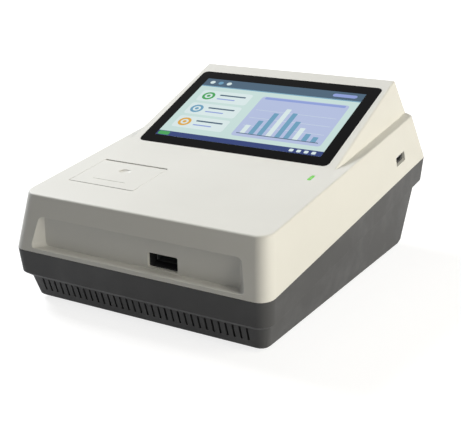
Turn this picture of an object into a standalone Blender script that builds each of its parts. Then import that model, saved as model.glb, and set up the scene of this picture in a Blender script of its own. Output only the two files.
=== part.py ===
"""A bench-top test card analyzer, as an assembly of its pieces.

A white moulded housing with a display wedge stands on a dark tapered base. Inside are a card
reader with a motor-driven tray, a label printer under a flush lid, and the electronics.
Metres, +Z up. The front faces -Y. The origin is the middle of the footprint on the table.
"""

import math
from collections import namedtuple

import bmesh
import bpy
from mathutils import Matrix, Vector

# Fits that every piece shares
SEAT_GAP = 0.0003
RUNNING_GAP = 0.0003
OVERRUN = 0.002
SINK = 0.0008
CORNER_STEPS = 6
LEAST_CORNER_SHARE = 0.25
SMALL_CORNER_STEPS = 4
ROUND_STEPS = 20
PIN_STEPS = 10
SMOOTH_ANGLE = math.radians(32)
CREASE_ANGLE = math.radians(20)
QUARTER_TURN = math.radians(90)

# The case, in outlines set back from the seam between the white housing and the dark base
BODY_WIDTH = 0.220
BODY_DEPTH = 0.2954
FOOT_LIFT = 0.003
CASE_WALL = 0.0025
SEAM_FRONT_RISE = 0.0407
SEAM_REAR_RISE = 0.0751
SEAM_CORNER = 0.0105
DECK_SIDE_SETBACK = 0.0057
DECK_FRONT_SETBACK = 0.0095
DECK_REAR_SETBACK = 0.0212
DECK_FRONT_RISE = 0.0830
DECK_REAR_RISE = 0.1151
DECK_CORNER = 0.0105
DECK_EDGE_RADIUS = 0.0013
DECK_EDGE_STEPS = 3
ROUND_PROFILE_SHARE = 0.5
LIP_SIDE_SETBACK = 0.0011
LIP_FRONT_SETBACK = 0.0026
LIP_REAR_SETBACK = 0.0031
LIP_FRONT_RISE = 0.0213
LIP_REAR_RISE = 0.0550
LIP_CORNER = 0.0100
STEP_SIDE_SETBACK = 0.0059
STEP_FRONT_SETBACK = 0.0081
STEP_REAR_SETBACK = 0.0084
STEP_FRONT_RISE = 0.0172
STEP_REAR_RISE = 0.0507
STEP_CORNER = 0.0085
SOLE_SIDE_SETBACK = 0.0092
SOLE_FRONT_SETBACK = 0.0139
SOLE_REAR_SETBACK = 0.0269
SOLE_CORNER = 0.0075
SOLE_CHAMFER = 0.0012

# The display wedge on the deck
WEDGE_SIDE_IN = 0.0147
WEDGE_SIDE_LEAN = 0.0035
WEDGE_FRONT_SETBACK = 0.1320
WEDGE_RIDGE_SETBACK = 0.2552
WEDGE_RIDGE_HEIGHT = 0.0328
WEDGE_EDGE_RADIUS = 0.0017
SHOULDER_DIP = 0.0010
SHOULDER_FADE = 0.017
SHOULDER_SKIM = 0.0001

# The cover glass in the wedge's face, and the panel behind it
GLASS_WIDTH = 0.1742
GLASS_LENGTH = 0.1149
GLASS_THICKNESS = 0.0011
GLASS_CORNER = 0.0045
GLASS_FRONT_MARGIN = 0.0026
GLASS_PROUD = 0.0001
ACTIVE_WIDTH = 0.1536
ACTIVE_LENGTH = 0.0926
ACTIVE_FRONT_MARGIN = 0.0108
WINDOW_MARGIN = 0.0015
PANEL_BORDER = 0.0055
PANEL_THICKNESS = 0.0050
BRACKET_THICKNESS = 0.0012
BRACKET_HOLE_WIDTH_SHARE = 0.62
BRACKET_HOLE_LENGTH_SHARE = 0.30
DISPLAY_BOARD_WIDTH = 0.070
DISPLAY_BOARD_LENGTH = 0.045

# The front recess and the card port in its rear panel
RECESS_SIDE_IN = 0.026
RECESS_DEPTH = 0.0085
RECESS_FLOOR_RISE = 0.0443
RECESS_CEILING_RISE = 0.0676
RECESS_FLARE_SHARE = 1.05
RECESS_FLOOR_SLOPE_SHARE = 0.10
RECESS_CORNER = 0.0035
PORT_CENTRE_X = 0.0218
PORT_WIDTH = 0.0252
PORT_HEIGHT = 0.0108
PORT_SILL = 0.0013
PORT_CORNER = 0.0012

# The printer opening in the deck
OPENING_SIDE_IN = 0.0538
OPENING_FRONT_SETBACK = 0.04125
OPENING_WIDTH = 0.0602
OPENING_LENGTH = 0.0474
OPENING_CORNER = 0.0008

# The status light slot in the deck
LENS_SIDE_IN = 0.0251
LENS_SETBACK = 0.1117
LENS_WIDTH = 0.0026
LENS_LENGTH = 0.0096
LENS_CORNER = 0.0009

# The port pocket in the right wall
SIDE_PORT_SETBACK = 0.2350
SIDE_PORT_RISE = 0.0843
SIDE_POCKET_LENGTH = 0.0182
SIDE_POCKET_HEIGHT = 0.0078
SIDE_POCKET_DEPTH = 0.0036

# The connector bay in the rear wall of the base
BAY_SIDE_IN = 0.032
BAY_FLOOR_RISE = 0.0070
BAY_CEILING_RISE = 0.0440
BAY_REAR_SETBACK = 0.0307
BAY_CORNER = 0.003
BAY_FLARE_SHARE = 0.20

# The grille along the base's front and the slots in its floor
GRILLE_SLOTS = 33
GRILLE_SIDE_IN = 0.0209
GRILLE_SLOT_WIDTH = 0.0018
GRILLE_LOW_RISE = 0.0062
GRILLE_HIGH_RISE = 0.0168
FLOOR_SLOTS = 9
FLOOR_SLOT_PITCH = 0.006
FLOOR_SLOT_WIDTH = 0.0025
FLOOR_SLOT_LENGTH = 0.036
SPEAKER_SLOTS = 5

# Screw posts that join housing and base, and the feet
POST_SIDE_IN = 0.018
POST_FRONT_SETBACK = 0.0300
POST_REAR_SETBACK = 0.0427
POST_RADIUS = 0.0042
POST_BORE_RADIUS = 0.0013
POST_SPLIT_RISE = 0.0450
POST_BORE_DEPTH = 0.014
SCREW_CLEAR_RADIUS = 0.0018
SCREW_HEAD_RADIUS = 0.0032
SCREW_HEAD_DEPTH = 0.030
TONGUE_HEIGHT = 0.0035
TONGUE_WALL = 0.0014
NOTCH_ROOM = 0.020
FOOT_RADIUS = 0.0078
FOOT_SIDE_IN = 0.034
FOOT_FRONT_SETBACK = 0.0380
FOOT_REAR_SETBACK = 0.0520
FOOT_SOCKET = 0.0010
FOOT_TAPER = 0.0009
FOOT_SHOULDER = 0.0003
FOOT_SHOULDER_RISE = 0.00045

RIGHT = BODY_WIDTH / 2
FRONT = -BODY_DEPTH / 2
REAR = BODY_DEPTH / 2
SOLE = FOOT_LIFT
INNER_FLOOR = SOLE + CASE_WALL

Ring = namedtuple("Ring", "half front rear front_z rear_z corner")


def clear_scene():
    for item in list(bpy.data.objects):
        bpy.data.objects.remove(item, do_unlink=True)


# Outlines of the case and the lofts through them


def case_ring(side, front, rear, front_rise, rear_rise, corner):
    """An outline round the case, given by its setbacks from the seam and its heights over the sole."""
    return Ring(
        BODY_WIDTH / 2 - side,
        FRONT + front,
        REAR - rear,
        SOLE + front_rise,
        SOLE + rear_rise,
        corner,
    )


def mix(a, b, share):
    """The outline that lies this share of the way from a to b."""
    return Ring(*(p + (q - p) * share for p, q in zip(a, b)))


def slope(ring):
    return (ring.rear_z - ring.front_z) / (ring.rear - ring.front)


def inset(ring, amount):
    """The outline drawn in by amount, still in the same sloping plane."""
    fall = slope(ring) * amount
    return Ring(
        ring.half - amount,
        ring.front + amount,
        ring.rear - amount,
        ring.front_z + fall,
        ring.rear_z - fall,
        max(ring.corner - amount, ring.corner * LEAST_CORNER_SHARE),
    )


def lifted(ring, height):
    return ring._replace(front_z=ring.front_z + height, rear_z=ring.rear_z + height)


SEAM = case_ring(0, 0, 0, SEAM_FRONT_RISE, SEAM_REAR_RISE, SEAM_CORNER)
DECK = case_ring(
    DECK_SIDE_SETBACK,
    DECK_FRONT_SETBACK,
    DECK_REAR_SETBACK,
    DECK_FRONT_RISE,
    DECK_REAR_RISE,
    DECK_CORNER,
)
LIP = case_ring(
    LIP_SIDE_SETBACK,
    LIP_FRONT_SETBACK,
    LIP_REAR_SETBACK,
    LIP_FRONT_RISE,
    LIP_REAR_RISE,
    LIP_CORNER,
)
STEP = case_ring(
    STEP_SIDE_SETBACK,
    STEP_FRONT_SETBACK,
    STEP_REAR_SETBACK,
    STEP_FRONT_RISE,
    STEP_REAR_RISE,
    STEP_CORNER,
)
SOLE_RING = case_ring(
    SOLE_SIDE_SETBACK, SOLE_FRONT_SETBACK, SOLE_REAR_SETBACK, 0, 0, SOLE_CORNER
)
DECK_TILT = math.atan(slope(DECK))
SEAM_TILT = math.atan(slope(SEAM))
BAND_HEIGHT = DECK.front_z - SEAM.front_z


def deck_z(y):
    return DECK.front_z + (y - DECK.front) * slope(DECK)


def ring_points(ring):
    """Points round the outline, anticlockwise from above, each on its sloping plane."""
    corners = (
        (ring.half - ring.corner, ring.front + ring.corner),
        (ring.half - ring.corner, ring.rear - ring.corner),
        (ring.corner - ring.half, ring.rear - ring.corner),
        (ring.corner - ring.half, ring.front + ring.corner),
    )
    points = []
    for quarter, (cx, cy) in enumerate(corners):
        for step in range(CORNER_STEPS + 1):
            angle = QUARTER_TURN * (quarter - 1 + step / CORNER_STEPS)
            x = cx + ring.corner * math.cos(angle)
            y = cy + ring.corner * math.sin(angle)
            z = ring.front_z + (y - ring.front) * slope(ring)
            points.append(Vector((x, y, z)))
    return points


def skin(loops):
    """A closed mesh through loops of points that correspond one to one, capped at both ends."""
    mesh = bmesh.new()
    rows = [[mesh.verts.new(point) for point in loop] for loop in loops]
    walls = []
    for lower, upper in zip(rows, rows[1:]):
        for i, corner in enumerate(lower):
            j = (i + 1) % len(lower)
            walls.append(mesh.faces.new((corner, lower[j], upper[j], upper[i])))
    mesh.faces.new(list(reversed(rows[0])))
    mesh.faces.new(rows[-1])
    bmesh.ops.triangulate(mesh, faces=walls)
    bmesh.ops.recalc_face_normals(mesh, faces=mesh.faces)
    return mesh


def loft(rings):
    return skin([ring_points(ring) for ring in rings])


# Simple solids, each returned as a mesh to be added or cut


def about(centre, width):
    return (centre - width / 2, centre + width / 2)


def spread(axis, u, v, w):
    """A point from its two coordinates across an axis and the one along it."""
    return Vector({"X": (w, u, v), "Y": (u, w, v), "Z": (u, v, w)}[axis])


def prism(axis, outline, span):
    """An outline extruded along an axis. The outline's u and v are the other two, in X, Y, Z order."""
    return skin([[spread(axis, u, v, w) for u, v in outline] for w in span])


def rounded(u, v, radius, steps=SMALL_CORNER_STEPS):
    """A rectangle's outline between two (low, high) pairs, with round corners."""
    points = []
    for quarter, (cu, cv) in enumerate(
        (
            (u[1] - radius, v[0] + radius),
            (u[1] - radius, v[1] - radius),
            (u[0] + radius, v[1] - radius),
            (u[0] + radius, v[0] + radius),
        )
    ):
        for step in range(steps + 1):
            angle = QUARTER_TURN * (quarter - 1 + step / steps)
            points.append((cu + radius * math.cos(angle), cv + radius * math.sin(angle)))
    return points


def block(x, y, z):
    return prism("Z", ((x[0], y[0]), (x[1], y[0]), (x[1], y[1]), (x[0], y[1])), z)


def slab(axis, u, v, w, radius, steps=SMALL_CORNER_STEPS):
    return prism(axis, rounded(u, v, radius, steps), w)


def circle(centre, radius, steps):
    turn = math.tau / steps
    return [
        (centre[0] + radius * math.cos(turn * i), centre[1] + radius * math.sin(turn * i))
        for i in range(steps)
    ]


def rod(axis, centre, radius, span, steps=ROUND_STEPS):
    return prism(axis, circle(centre, radius, steps), span)


def turned(axis, centre, profile, steps=ROUND_STEPS):
    """A solid of revolution: the profile is (radius, place along the axis), from end to end."""
    loops = [
        [spread(axis, u, v, w) for u, v in circle(centre, radius, steps)]
        for radius, w in profile
    ]
    return skin(loops)


def joined(meshes):
    """Several solids that lie apart, as one cutter."""
    whole = bmesh.new()
    for mesh in meshes:
        data = bpy.data.meshes.new("part")
        mesh.to_mesh(data)
        mesh.free()
        whole.from_mesh(data)
        bpy.data.meshes.remove(data)
    return whole


def moved(mesh, matrix):
    bmesh.ops.transform(mesh, matrix=matrix, verts=mesh.verts)
    return mesh


# Objects, their finishes and the Boolean joins and cuts

FINISHES = {
    "white_plastic": ((0.74, 0.73, 0.68), 0.45, 0.0),
    "dark_plastic": ((0.075, 0.077, 0.080), 0.55, 0.0),
    "black_plastic": ((0.015, 0.015, 0.017), 0.5, 0.0),
    "grey_plastic": ((0.30, 0.31, 0.32), 0.5, 0.0),
    "glass_black": ((0.01, 0.01, 0.012), 0.08, 0.0),
    "panel": ((0.55, 0.72, 0.72), 0.3, 0.0),
    "green_lens": ((0.20, 0.62, 0.12), 0.25, 0.0),
    "steel": ((0.56, 0.57, 0.58), 0.3, 1.0),
    "sheet_steel": ((0.48, 0.49, 0.50), 0.42, 1.0),
    "brass": ((0.70, 0.52, 0.26), 0.35, 1.0),
    "aluminium": ((0.66, 0.67, 0.68), 0.4, 1.0),
    "rubber": ((0.03, 0.03, 0.032), 0.8, 0.0),
    "board": ((0.02, 0.20, 0.10), 0.5, 0.0),
    "copper": ((0.72, 0.36, 0.22), 0.4, 1.0),
    "ceramic": ((0.78, 0.76, 0.70), 0.4, 0.0),
}


def finish(name):
    """The material of this name, made the first time that it is asked for."""
    made = bpy.data.materials.get(name)
    if made:
        return made
    colour, roughness, metallic = FINISHES[name]
    made = bpy.data.materials.new(name)
    made.use_nodes = True
    shader = made.node_tree.nodes["Principled BSDF"]
    shader.inputs["Base Color"].default_value = (*colour, 1)
    shader.inputs["Roughness"].default_value = roughness
    shader.inputs["Metallic"].default_value = metallic
    return made


def solid(name, mesh):
    data = bpy.data.meshes.new(name)
    mesh.to_mesh(data)
    mesh.free()
    made = bpy.data.objects.new(name, data)
    bpy.context.scene.collection.objects.link(made)
    return made


def apply_boolean(target, mesh, operation):
    """Joins a mesh to the object, or cuts it away, and keeps the result as the object's mesh."""
    tool = solid("tool", mesh)
    modifier = target.modifiers.new(operation, "BOOLEAN")
    modifier.operation = operation
    modifier.object = tool
    bpy.context.view_layer.update()
    graph = bpy.context.evaluated_depsgraph_get()
    result = bpy.data.meshes.new_from_object(target.evaluated_get(graph))
    target.modifiers.clear()
    spent = (target.data, tool.data)
    target.data = result
    bpy.data.objects.remove(tool)
    for data in spent:
        bpy.data.meshes.remove(data)


def assemble(name, adds, cuts=()):
    """One object from solids that overlap, with the cuts taken away."""
    made = solid(name, adds[0])
    for mesh in adds[1:]:
        apply_boolean(made, mesh, "UNION")
    for mesh in cuts:
        apply_boolean(made, mesh, "DIFFERENCE")
    return made


def carved(adds, cuts=()):
    """The same, handed back as a mesh that can be joined or cut in its turn."""
    made = assemble("blank", adds, cuts)
    mesh = bmesh.new()
    mesh.from_mesh(made.data)
    spent = made.data
    bpy.data.objects.remove(made)
    bpy.data.meshes.remove(spent)
    return mesh


def piece(name, look, adds, cuts=(), parent=None, pivot=(0, 0, 0)):
    """A finished sub-part. Its meshes are drawn in the parent's frame, and pivot becomes its origin."""
    made = assemble(name, adds, cuts)
    made.data.name = name
    made.data.transform(Matrix.Translation(-Vector(pivot)))
    made.location = pivot
    made.parent = parent
    made.data.materials.clear()
    made.data.materials.append(finish(look))
    made.data.shade_smooth()
    made.data.set_sharp_from_angle(angle=SMOOTH_ANGLE)
    return made


def place(name, location, tilt=0):
    """An empty that a group of pieces is drawn round, tilted back about the X axis."""
    made = bpy.data.objects.new(name, None)
    made.location = location
    made.rotation_euler = (tilt, 0, 0)
    bpy.context.scene.collection.objects.link(made)
    bpy.context.view_layer.update()
    return made


# Planes of the wedge, and the places that other pieces are drawn round

WEDGE_FRONT = FRONT + WEDGE_FRONT_SETBACK
RIDGE_Y = FRONT + WEDGE_RIDGE_SETBACK
RIDGE_Z = deck_z(RIDGE_Y) + WEDGE_RIDGE_HEIGHT
DISPLAY_TILT = math.atan((RIDGE_Z - deck_z(WEDGE_FRONT)) / (RIDGE_Y - WEDGE_FRONT))
PANEL_FACE = FRONT + RECESS_DEPTH
PORT_Z = SOLE + RECESS_FLOOR_RISE + PORT_SILL + PORT_HEIGHT / 2
BAY_FACE = REAR - BAY_REAR_SETBACK
BAY_Z = (SOLE + BAY_FLOOR_RISE, SOLE + BAY_CEILING_RISE)
BAY_INSIDE = BAY_FACE - CASE_WALL
LENS_X = RIGHT - LENS_SIDE_IN
LENS_Y = FRONT + LENS_SETBACK
OPENING_X = OPENING_SIDE_IN - RIGHT
OPENING_Y = FRONT + OPENING_FRONT_SETBACK + OPENING_LENGTH / 2


def add_places():
    """The frames of the printer, the display, the card port, the status light and the side port."""
    half = GLASS_FRONT_MARGIN + GLASS_LENGTH / 2
    glass_y = WEDGE_FRONT + half * math.cos(DISPLAY_TILT)
    glass_z = deck_z(WEDGE_FRONT) + half * math.sin(DISPLAY_TILT)
    side_z = SOLE + SIDE_PORT_RISE
    return {
        "printer": place("printer_place", (OPENING_X, OPENING_Y, deck_z(OPENING_Y)), DECK_TILT),
        "display": place("display_place", (0, glass_y, glass_z), DISPLAY_TILT),
        "reader": place("reader_place", (PORT_CENTRE_X, PANEL_FACE + CASE_WALL, PORT_Z)),
        "light": place("light_place", (LENS_X, LENS_Y, deck_z(LENS_Y)), DECK_TILT),
        "side": place("side_place", (side_wall_x(side_z), FRONT + SIDE_PORT_SETBACK, side_z), SEAM_TILT),
    }


def side_wall_x(z):
    """Where the right wall's outside is, at this height beside the side port."""
    y = FRONT + SIDE_PORT_SETBACK
    seam_z = SEAM.front_z + (y - SEAM.front) * slope(SEAM)
    share = (z - seam_z) / (deck_z(y) - seam_z)
    return SEAM.half + (DECK.half - SEAM.half) * share


# The upper housing


def cut_by(mesh, point, normal):
    """Trims a closed mesh to the side of a plane that its normal points away from."""
    found = bmesh.ops.bisect_plane(
        mesh,
        geom=list(mesh.verts) + list(mesh.edges) + list(mesh.faces),
        plane_co=point,
        plane_no=normal,
        clear_outer=True,
    )
    rim = [item for item in found["geom_cut"] if isinstance(item, bmesh.types.BMEdge)]
    bmesh.ops.edgeloop_fill(mesh, edges=rim)


def wedge(wall, sink, edge_radius):
    """The display wedge, with every outer plane moved in by wall, going sink below the deck."""
    top = RIDGE_Z + BODY_WIDTH
    mesh = block(about(0, BODY_WIDTH * 2), (FRONT * 2, REAR * 2), (0, top))
    front = Vector((0, WEDGE_FRONT, deck_z(WEDGE_FRONT)))
    ridge = Vector((0, RIDGE_Y, RIDGE_Z))
    heel = Vector((0, DECK.rear, DECK.rear_z))
    foot = Vector((0, SEAM.rear, SEAM.rear_z))
    across = Vector((1, 0, 0))
    planes = [(front, across.cross(ridge - front)), (ridge, across.cross(heel - ridge))]
    planes.append((heel, across.cross(foot - heel)))
    along = Vector((0, DECK.rear - DECK.front, DECK.rear_z - DECK.front_z))
    side_foot = Vector((RIGHT - WEDGE_SIDE_IN, WEDGE_FRONT, deck_z(WEDGE_FRONT)))
    ridge_end = Vector((side_foot.x - WEDGE_SIDE_LEAN, RIDGE_Y, RIDGE_Z))
    outward = along.cross(ridge_end - side_foot)
    planes.append((side_foot, outward))
    mirrored = Vector((-outward.x, outward.y, outward.z))
    planes.append((Vector((-side_foot.x, side_foot.y, side_foot.z)), mirrored))
    for point, normal in planes:
        cut_by(mesh, point - normal.normalized() * wall, normal)
    under = across.cross(along).normalized()
    cut_by(mesh, front - under * sink, -under)
    bmesh.ops.recalc_face_normals(mesh, faces=mesh.faces)
    if edge_radius:
        sharp = []
        for edge in mesh.edges:
            heights = [(vert.co - front).dot(under) for vert in edge.verts]
            if max(heights) > edge_radius and min(heights) > -sink - SINK:
                sharp.append(edge)
        sharp = [edge for edge in sharp if edge.calc_face_angle(0) > CREASE_ANGLE]
        bmesh.ops.bevel(
            mesh,
            geom=sharp,
            offset=edge_radius,
            segments=DECK_EDGE_STEPS,
            profile=ROUND_PROFILE_SHARE,
            affect="EDGES",
        )
    return mesh


def housing_outside():
    """The housing's outer form: a sloping band that turns over a round edge into the deck."""
    rings = [SEAM]
    for step in range(DECK_EDGE_STEPS + 1):
        angle = QUARTER_TURN * step / DECK_EDGE_STEPS
        drop = DECK_EDGE_RADIUS * (1 - math.sin(angle))
        draw = DECK_EDGE_RADIUS * (1 - math.cos(angle))
        rings.append(inset(mix(DECK, SEAM, drop / BAND_HEIGHT), draw))
    return loft(rings)


def housing_inside():
    """The hollow under the deck, open downwards past the seam."""
    skirt = mix(SEAM, DECK, -OVERRUN / BAND_HEIGHT)
    roof = lifted(inset(DECK, CASE_WALL), -CASE_WALL / math.cos(DECK_TILT))
    return loft([inset(skirt, CASE_WALL), roof])


def flared_pocket(face, floor, ceiling, half, wall, corner, flare, rise, reach, out):
    """A pocket with a flat back at face. Its sides flare towards its mouth, reach away along out."""
    loops = []
    for travel in (-wall, 0, reach):
        grow = flare * max(travel, 0) + wall
        low = floor - wall - rise * max(travel, 0)
        high = ceiling + wall
        outline = rounded((-half - grow, half + grow), (low, high), corner)
        y = face + out * travel
        loops.append([Vector((u, y, v)) for u, v in outline])
    return skin(loops if wall else loops[1:])


def recess_pocket(wall):
    return flared_pocket(
        face=PANEL_FACE,
        floor=SOLE + RECESS_FLOOR_RISE,
        ceiling=SOLE + RECESS_CEILING_RISE,
        half=RIGHT - RECESS_SIDE_IN,
        wall=wall,
        corner=RECESS_CORNER,
        flare=RECESS_FLARE_SHARE,
        rise=RECESS_FLOOR_SLOPE_SHARE,
        reach=RECESS_DEPTH + OVERRUN,
        out=-1,
    )


def posts(z, radius):
    """The four screw posts' columns, between two heights."""
    places = [
        (side * (RIGHT - POST_SIDE_IN), y)
        for side in (-1, 1)
        for y in (FRONT + POST_FRONT_SETBACK, REAR - POST_REAR_SETBACK)
    ]
    return joined([rod("Z", place_xy, radius, z, PIN_STEPS) for place_xy in places])


def shoulder_dips(wall):
    """Two valleys in the deck, from its side edges down to the feet of the wedge's walls. With a
    wall, they are the room that the plastic under the valleys takes from the hollow."""
    start = WEDGE_FRONT + DECK_EDGE_RADIUS
    dips = []
    for side in (-1, 1):
        inner = side * (RIGHT - WEDGE_SIDE_IN - CASE_WALL - wall)
        outer = side * (DECK.half - DECK_EDGE_RADIUS / 2)
        loops = []
        stations = (
            (start, SHOULDER_SKIM),
            (start + SHOULDER_FADE, SHOULDER_DIP),
            (DECK.rear - SHOULDER_FADE, SHOULDER_DIP),
            (DECK.rear, SHOULDER_SKIM),
        )
        for y, depth in stations:
            z = deck_z(y)
            loops.append(
                [
                    Vector((outer, y, z + SHOULDER_SKIM - wall)),
                    Vector((outer, y, z + OVERRUN)),
                    Vector((inner, y, z + OVERRUN)),
                    Vector((inner, y, z - depth - wall)),
                ]
            )
        dips.append(skin(loops))
    return joined(dips)


def display_cuts(places):
    """The glass's seat in the wedge's face, and the window through it."""
    seat = slab(
        "Z",
        about(0, GLASS_WIDTH + 2 * SEAT_GAP),
        about(0, GLASS_LENGTH + 2 * SEAT_GAP),
        (GLASS_PROUD - GLASS_THICKNESS - SEAT_GAP, OVERRUN * 2),
        GLASS_CORNER + SEAT_GAP,
    )
    centre = ACTIVE_FRONT_MARGIN + ACTIVE_LENGTH / 2 - GLASS_LENGTH / 2
    window = block(
        about(0, ACTIVE_WIDTH + 2 * WINDOW_MARGIN),
        about(centre, ACTIVE_LENGTH + 2 * WINDOW_MARGIN),
        (-CASE_WALL - OVERRUN, OVERRUN),
    )
    frame = places["display"].matrix_world
    return [moved(seat, frame), moved(window, frame)]


def printer_cuts(places):
    """The lid's opening through the deck, and the hollow under its front edge that the lid turns in."""
    opening = slab(
        "Z",
        about(0, OPENING_WIDTH),
        about(0, OPENING_LENGTH),
        (-CASE_WALL - OVERRUN, OVERRUN),
        OPENING_CORNER,
    )
    relief = rod(
        "X",
        (HINGE_Y, HINGE_Z),
        HINGE_SWEEP + RUNNING_GAP,
        about(0, OPENING_WIDTH + 2 * SEAT_GAP),
    )
    frame = places["printer"].matrix_world
    return [moved(opening, frame), moved(relief, frame)]


def side_pocket(places, wall):
    """The pocket round the side port, or with a wall the block that it is sunk in."""
    mesh = slab(
        "X",
        about(0, SIDE_POCKET_LENGTH + 2 * wall),
        about(0, SIDE_POCKET_HEIGHT + 2 * wall),
        (-SIDE_POCKET_DEPTH - wall, OVERRUN * 2),
        SIDE_POCKET_CORNER + wall,
    )
    return moved(mesh, places["side"].matrix_world)


def lens_slot(places):
    mesh = slab(
        "Z",
        about(0, LENS_WIDTH + 2 * SEAT_GAP),
        about(0, LENS_LENGTH + 2 * SEAT_GAP),
        (-CASE_WALL - OVERRUN, OVERRUN),
        LENS_CORNER + SEAT_GAP,
    )
    return moved(mesh, places["light"].matrix_world)


def port_cut():
    return slab(
        "Y",
        about(PORT_CENTRE_X, PORT_WIDTH),
        about(PORT_Z, PORT_HEIGHT),
        (PANEL_FACE - OVERRUN, PANEL_FACE + CASE_WALL + OVERRUN),
        PORT_CORNER,
    )


def side_port_hole(places):
    mesh = block(
        (-SIDE_POCKET_DEPTH - CASE_WALL - OVERRUN, -SIDE_POCKET_DEPTH + OVERRUN),
        about(0, PLUG_SHELL_WIDTH + 2 * SEAT_GAP),
        about(0, PLUG_SHELL_HEIGHT + 2 * SEAT_GAP),
    )
    return moved(mesh, places["side"].matrix_world)


def add_upper_housing(places):
    """The white moulding: the hollow is shaped first, then taken from the outer form."""
    split = SOLE + POST_SPLIT_RISE
    hollow = carved(
        [housing_inside(), wedge(CASE_WALL, CASE_WALL + OVERRUN, 0)],
        [
            recess_pocket(CASE_WALL),
            side_pocket(places, CASE_WALL),
            shoulder_dips(CASE_WALL),
            posts((split, RIDGE_Z + OVERRUN), POST_RADIUS),
        ],
    )
    piece(
        "upper_housing",
        "white_plastic",
        [
            carved([housing_outside()], [shoulder_dips(0)]),
            wedge(0, CASE_WALL / 2, WEDGE_EDGE_RADIUS),
        ],
        [
            hollow,
            recess_pocket(0),
            port_cut(),
            *display_cuts(places),
            *printer_cuts(places),
            side_pocket(places, 0),
            side_port_hole(places),
            lens_slot(places),
            posts((split - OVERRUN, split + POST_BORE_DEPTH), POST_BORE_RADIUS),
        ],
    )


# The lower base

PILLAR_RADIUS = 0.0035
PILLAR_BORE_RADIUS = 0.0012
PILLAR_BORE_DEPTH = 0.006
BOARD_RISE = 0.0090
BOARD_THICKNESS = 0.0016


def base_outside():
    top = lifted(SEAM, -SEAT_GAP)
    chamfered = mix(SOLE_RING, STEP, SOLE_CHAMFER / STEP_FRONT_RISE)
    return loft([inset(SOLE_RING, SOLE_CHAMFER), chamfered, STEP, LIP, top])


def tongue_ring(height, depth):
    return inset(mix(SEAM, DECK, height / BAND_HEIGHT), depth)


def base_tongue():
    """The locating tongue that stands up inside the housing's skirt."""
    outer = CASE_WALL + SEAT_GAP
    return loft([tongue_ring(-TONGUE_HEIGHT, outer), tongue_ring(TONGUE_HEIGHT, outer)])


def base_inside():
    """The tub's hollow, which narrows under the tongue and runs out through the top."""
    deep = CASE_WALL + SEAT_GAP + TONGUE_WALL
    floor_share = CASE_WALL / STEP_FRONT_RISE
    return loft(
        [
            inset(mix(SOLE_RING, STEP, floor_share), CASE_WALL)._replace(
                front_z=INNER_FLOOR, rear_z=INNER_FLOOR
            ),
            inset(STEP, CASE_WALL),
            inset(LIP, deep),
            tongue_ring(0, deep),
            tongue_ring(TONGUE_HEIGHT + OVERRUN, deep),
        ]
    )


def bay_pocket(wall):
    return flared_pocket(
        face=BAY_FACE,
        floor=BAY_Z[0],
        ceiling=BAY_Z[1],
        half=RIGHT - BAY_SIDE_IN,
        wall=wall,
        corner=BAY_CORNER,
        flare=BAY_FLARE_SHARE,
        rise=0,
        reach=BAY_REAR_SETBACK + OVERRUN,
        out=1,
    )


def pillar_places():
    """Where the base's pillars stand, and how high: under the reader's chassis and the boards."""
    chassis_top = PORT_Z + CHASSIS_LOW - SEAT_GAP
    board_top = SOLE + BOARD_RISE - SEAT_GAP
    found = []
    for x in (PORT_CENTRE_X - PILLAR_IN_X, PORT_CENTRE_X + PILLAR_IN_X):
        for y in (CHASSIS_Y[0] + PILLAR_IN_Y, CHASSIS_Y[1] - PILLAR_IN_Y):
            found.append(((x, PANEL_FACE + CASE_WALL + y), chassis_top))
    for x_span, y_span in ((MAIN_BOARD_X, MAIN_BOARD_Y), (SUPPLY_BOARD_X, SUPPLY_BOARD_Y)):
        for x in (x_span[0] + BOARD_HOLE_IN, x_span[1] - BOARD_HOLE_IN):
            for y in (y_span[0] + BOARD_HOLE_IN, y_span[1] - BOARD_HOLE_IN):
                found.append(((x, y), board_top))
    return found


def pillars():
    return joined(
        [rod("Z", xy, PILLAR_RADIUS, (SOLE, top), PIN_STEPS) for xy, top in pillar_places()]
    )


def pillar_bores():
    return joined(
        [
            rod("Z", xy, PILLAR_BORE_RADIUS, (top - PILLAR_BORE_DEPTH, top + OVERRUN), PIN_STEPS)
            for xy, top in pillar_places()
        ]
    )


def front_grille():
    """Upright slots through the sloping front wall under the step."""
    first = GRILLE_SIDE_IN - RIGHT
    pitch = -2 * first / (GRILLE_SLOTS - 1)
    y = (FRONT, FRONT + SOLE_FRONT_SETBACK + CASE_WALL + OVERRUN)
    z = (SOLE + GRILLE_LOW_RISE, SOLE + GRILLE_HIGH_RISE)
    slots = [about(first + i * pitch, GRILLE_SLOT_WIDTH) for i in range(GRILLE_SLOTS)]
    return joined([block(x, y, z) for x in slots])


def floor_slots():
    """Air slots in the floor under the boards, and the speaker's slots."""
    z = (0, INNER_FLOOR + OVERRUN)
    found = []
    for board_x, board_y in ((MAIN_BOARD_X, MAIN_BOARD_Y), (SUPPLY_BOARD_X, SUPPLY_BOARD_Y)):
        centre = (board_x[0] + board_x[1]) / 2
        middle = (board_y[0] + board_y[1]) / 2
        first = centre - FLOOR_SLOT_PITCH * (FLOOR_SLOTS - 1) / 2
        for i in range(FLOOR_SLOTS):
            x = about(first + i * FLOOR_SLOT_PITCH, FLOOR_SLOT_WIDTH)
            found.append(block(x, about(middle, FLOOR_SLOT_LENGTH), z))
    first = SPEAKER_X - FLOOR_SLOT_PITCH * (SPEAKER_SLOTS - 1) / 2
    for i in range(SPEAKER_SLOTS):
        x = first + i * FLOOR_SLOT_PITCH
        reach = math.sqrt(SPEAKER_RADIUS**2 - (x - SPEAKER_X) ** 2)
        found.append(block(about(x, FLOOR_SLOT_WIDTH), about(SPEAKER_Y, reach), z))
    return joined(found)


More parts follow.
